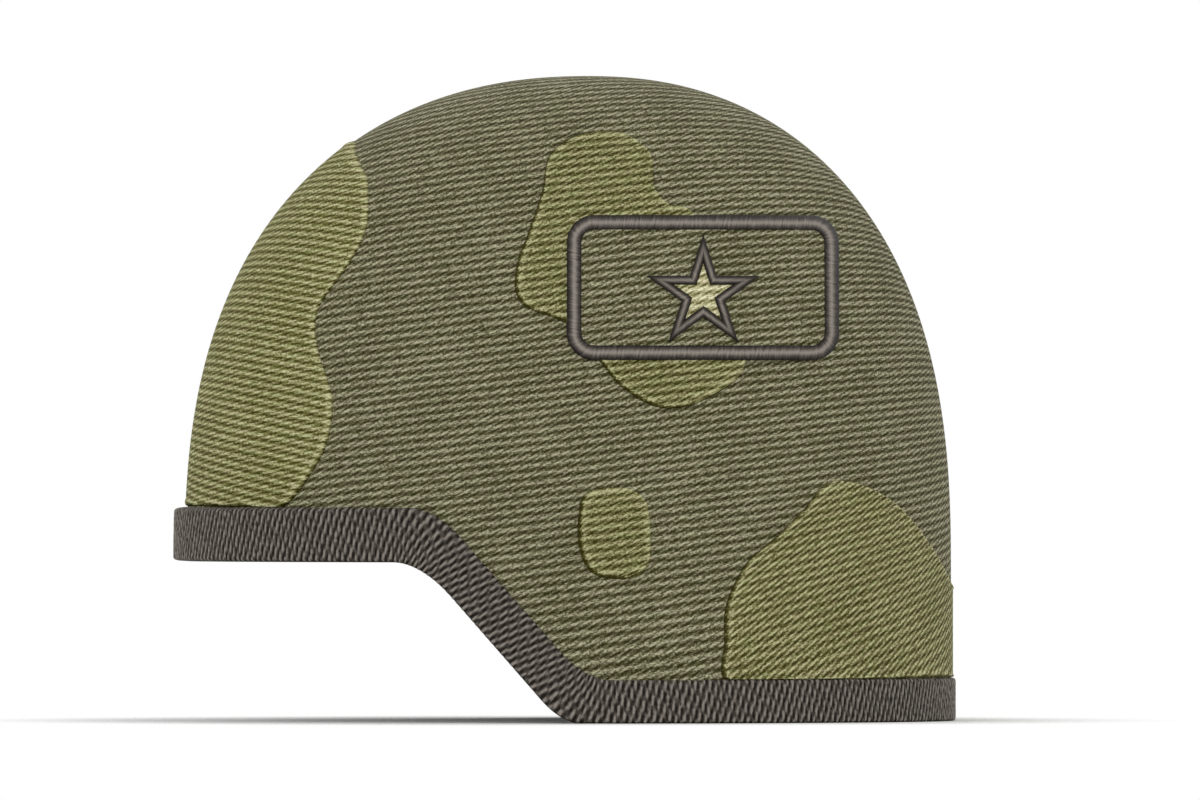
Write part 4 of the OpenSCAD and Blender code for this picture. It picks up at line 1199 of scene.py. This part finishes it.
def anchor_straps():
    """The short webbing tabs that hold the sliders, folded round each plate's bar and sewn."""
    low_y = ANCHOR_Y + ANCHOR_T / 2
    fold_y = PLATE_Y + PLATE_T + 0.3 + ANCHOR_T / 2
    half = (fold_y - low_y) / 2
    t = np.radians(np.linspace(-90, 90, 11))
    turn = columns(BAR_X - BAR_R * np.cos(t), low_y + half + half * np.sin(t), 0.0)
    back = columns(np.linspace(BAR_END, SLOPE_X, 6), fold_y, 0.0)
    ramp = np.linspace(0, 1, 9)[1:]
    drop = (low_y + ANCHOR_T * 0.92 - fold_y) * ramp * ramp * (3 - 2 * ramp)
    down = columns(SLOPE_X + SLOPE_L * ramp, fold_y + drop, 0.0)
    under = columns(np.linspace(ANCHOR_END - 0.2, BAR_END, 24), low_y, 0.0)
    line = np.concatenate([under, turn, back, down])
    for side, name in ((-1, "left"), (1, "right")):
        form, thread = Form(), Form()
        flat_tape(form, line * [1, side, 1], STRAP_W - 0.1, ANCHOR_T - 0.1)
        form.make(f"{name}_anchor_webbing", "webbing", "webbing", "chinstrap_anchors", f"{name}_anchor_strap")
        for x in (21.5, 24.5, 29):
            slope = [SLOPE_X, SLOPE_X + SLOPE_L, SLOPE_END]
            y = np.interp(x, slope, [fold_y, low_y + ANCHOR_T * 0.9, low_y]) + ANCHOR_T / 2
            out = np.array([0.25, 1.0, 0]) if x < SLOPE_X + SLOPE_L else np.array([0, 1.0, 0])
            out = out / np.linalg.norm(out) * [1, side, 1]
            stitch_row(thread, stowed([x, side * y, 0]), ACROSS, out @ STOWED, SEWN_HALF)
        thread.make(f"{name}_anchor_stitches", "thread", "webbing", "chinstrap_anchors")


# The chin cup: degrees to its ends and to where it narrows, half its width and how much less at the ends,
# its thickness and hollow, and its slot and sewing
CUP_TURN, CUP_TAPER, CUP_HALF, CUP_NARROWS = 30, 22, 12, 5.2
CUP_EDGE, CUP_PLUMP, CUP_HOLLOW = 1.0, 1.15, 0.45
SLOT_TURN, SLOT_HALF, CUP_SEAM_IN, CUP_SEAM_OUT = 7, 3.1, 1.6, 1.75


def chin_pad():
    """A moulded leather cup inside the loop, hollowed in the middle, with a slot and a sewn edge."""
    form, thread = Form(), Form()
    turns, rows = 49, 25
    angles = np.linspace(90 - CUP_TURN, 90 + CUP_TURN, turns)
    taper = np.clip((np.abs(angles - 90) - CUP_TAPER) / (CUP_TURN - CUP_TAPER), 0, 1)
    half = CUP_HALF - CUP_NARROWS * taper ** 1.6
    v = np.linspace(-1, 1, rows)
    outer = -LOOP_T / 2 - 0.1
    grid_t, grid_v = angles[:, None], v[None]
    roll = 1 - np.abs(grid_v) ** 6
    ends = 1 - (np.abs(grid_t - 90) / CUP_TURN) ** 8
    plump = CUP_EDGE + CUP_PLUMP * np.sqrt(np.maximum(0, roll * ends))
    hollow = CUP_HOLLOW * np.exp(-((grid_t - 90) / 10) ** 2 - (grid_v / 0.5) ** 2)

    def face(offset):
        p = loop_point(np.broadcast_to(grid_t, (turns, rows)), offset)
        p[..., 2] = half[:, None] * grid_v
        return stowed(p)

    inner = face(outer - np.maximum(0.35, plump - hollow))
    back = face(np.full((turns, rows), outer))

    def in_slot(i, j):
        return abs(angles[i] + 0.6 - 90) < SLOT_TURN and abs(v[j] + 0.04) * CUP_HALF < SLOT_HALF

    # Each row of points runs over the inside and back along the outside, so b is the outside's point under j
    first = form.add(np.concatenate([inner, back[:, ::-1]], axis=1), [0, 0, 0])
    at = first + np.arange(turns * 2 * rows).reshape(turns, 2 * rows)
    for i in range(turns - 1):
        for j in range(rows - 1):
            if in_slot(i, j):
                continue
            form.faces.append([at[i, j], at[i, j + 1], at[i + 1, j + 1], at[i + 1, j]])
            b = 2 * rows - 1 - j
            form.faces.append([at[i, b], at[i + 1, b], at[i + 1, b - 1], at[i, b - 1]])
            for di, dj, pair in ((-1, 0, ((i, j), (i, j + 1))), (1, 0, ((i + 1, j + 1), (i + 1, j))),
                                 (0, -1, ((i + 1, j), (i, j))), (0, 1, ((i, j + 1), (i + 1, j + 1)))):
                ni, nj = i + di, j + dj
                if not (0 <= ni < turns - 1 and 0 <= nj < rows - 1) or in_slot(ni, nj):
                    (p, q), (r, s) = pair
                    form.faces.append([at[r, s], at[p, q], at[p, 2 * rows - 1 - q], at[r, 2 * rows - 1 - s]])
    form.make("chin_pad", "cup", "leather", "chin_loop", "chin_cup")
    for i in range(1, turns - 1):
        for side in (-1, 1):
            p, q = (stowed([*loop_point(np.array(place), outer - CUP_SEAM_OUT)[:2],
                            side * (half[i] - CUP_SEAM_IN)])
                    for place in (angles[i], angles[i] + 0.9))
            along = (q - p) / np.linalg.norm(q - p)
            stitch(thread, p, along, np.cross(along, ACROSS), half=0.6, rise=0.5, thick=0.26)
    thread.make("chin_pad_stitches", "thread", "leather", "chin_loop")


def snap_strap():
    """The short tab whose cap snaps on the stud."""
    form = Form()
    run = np.linspace(-TAB_L / 2 + 0.1, TAB_L / 2 - 0.05, 14)
    flat_tape(form, tab_frame(columns(run, TAB_GAP + TAB_T / 2, 0.0)), TAB_W - 0.1, TAB_T - 0.15)
    form.make("snap_webbing", "webbing", "webbing", "snap_tab_piece", "snap_tab")


def finish_hardware(node, paint, bevel):
    """Keeps a CAD node, with its edges eased and its own finish."""
    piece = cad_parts[node]
    piece.data.materials.clear()
    piece.data.materials.append(PAINTS[paint])
    if bevel:
        ease_edges = piece.modifiers.new("eased_edges", "BEVEL")
        ease_edges.width = bevel * MM
        ease_edges.segments = 2
        ease_edges.limit_method = "ANGLE"
        ease_edges.angle_limit = math.radians(40)


cover = cloth_cover()
sewn_on = [camouflage_patch(camo_node, *camo) for camo_node, camo in CAMOUFLAGE.items()]
sewn_on += [badge_field(), badge_cord(), star_line(), star_fill()]
edge_binding()
suspension()
crown_straps("front_straps", "front_crown_straps", (30, 330))
crown_straps("side_straps", "side_crown_straps", (90, 270))
crown_straps("rear_straps", "rear_crown_straps", (150, 210))
drawcord()
sweat_pad()
nape_foam()
chin_loop()
anchor_straps()
chin_pad()
snap_strap()

for kept_node, kept_paint, kept_bevel in (
    ("helmet_shell", "shell", 0),
    ("suspension_screws", "dark_steel", 0.25),
    ("suspension_posts", "steel", 0.15),
    ("cord_lock", "plastic", 0.5),
    ("sweatband_clips", "steel", 0.15),
    ("chinstrap_screws", "dark_steel", 0.25),
    ("chinstrap_spacers", "plastic", 0.2),
    ("chinstrap_nuts", "steel", 0.2),
    ("left_anchor_plate", "steel", 0.25),
    ("right_anchor_plate", "steel", 0.25),
    ("left_slider", "plastic", 0.3),
    ("right_slider", "plastic", 0.3),
    ("snap_stud", "snap", 0.2),
    ("snap_cap", "snap", 0.25),
):
    finish_hardware(kept_node, kept_paint, kept_bevel)
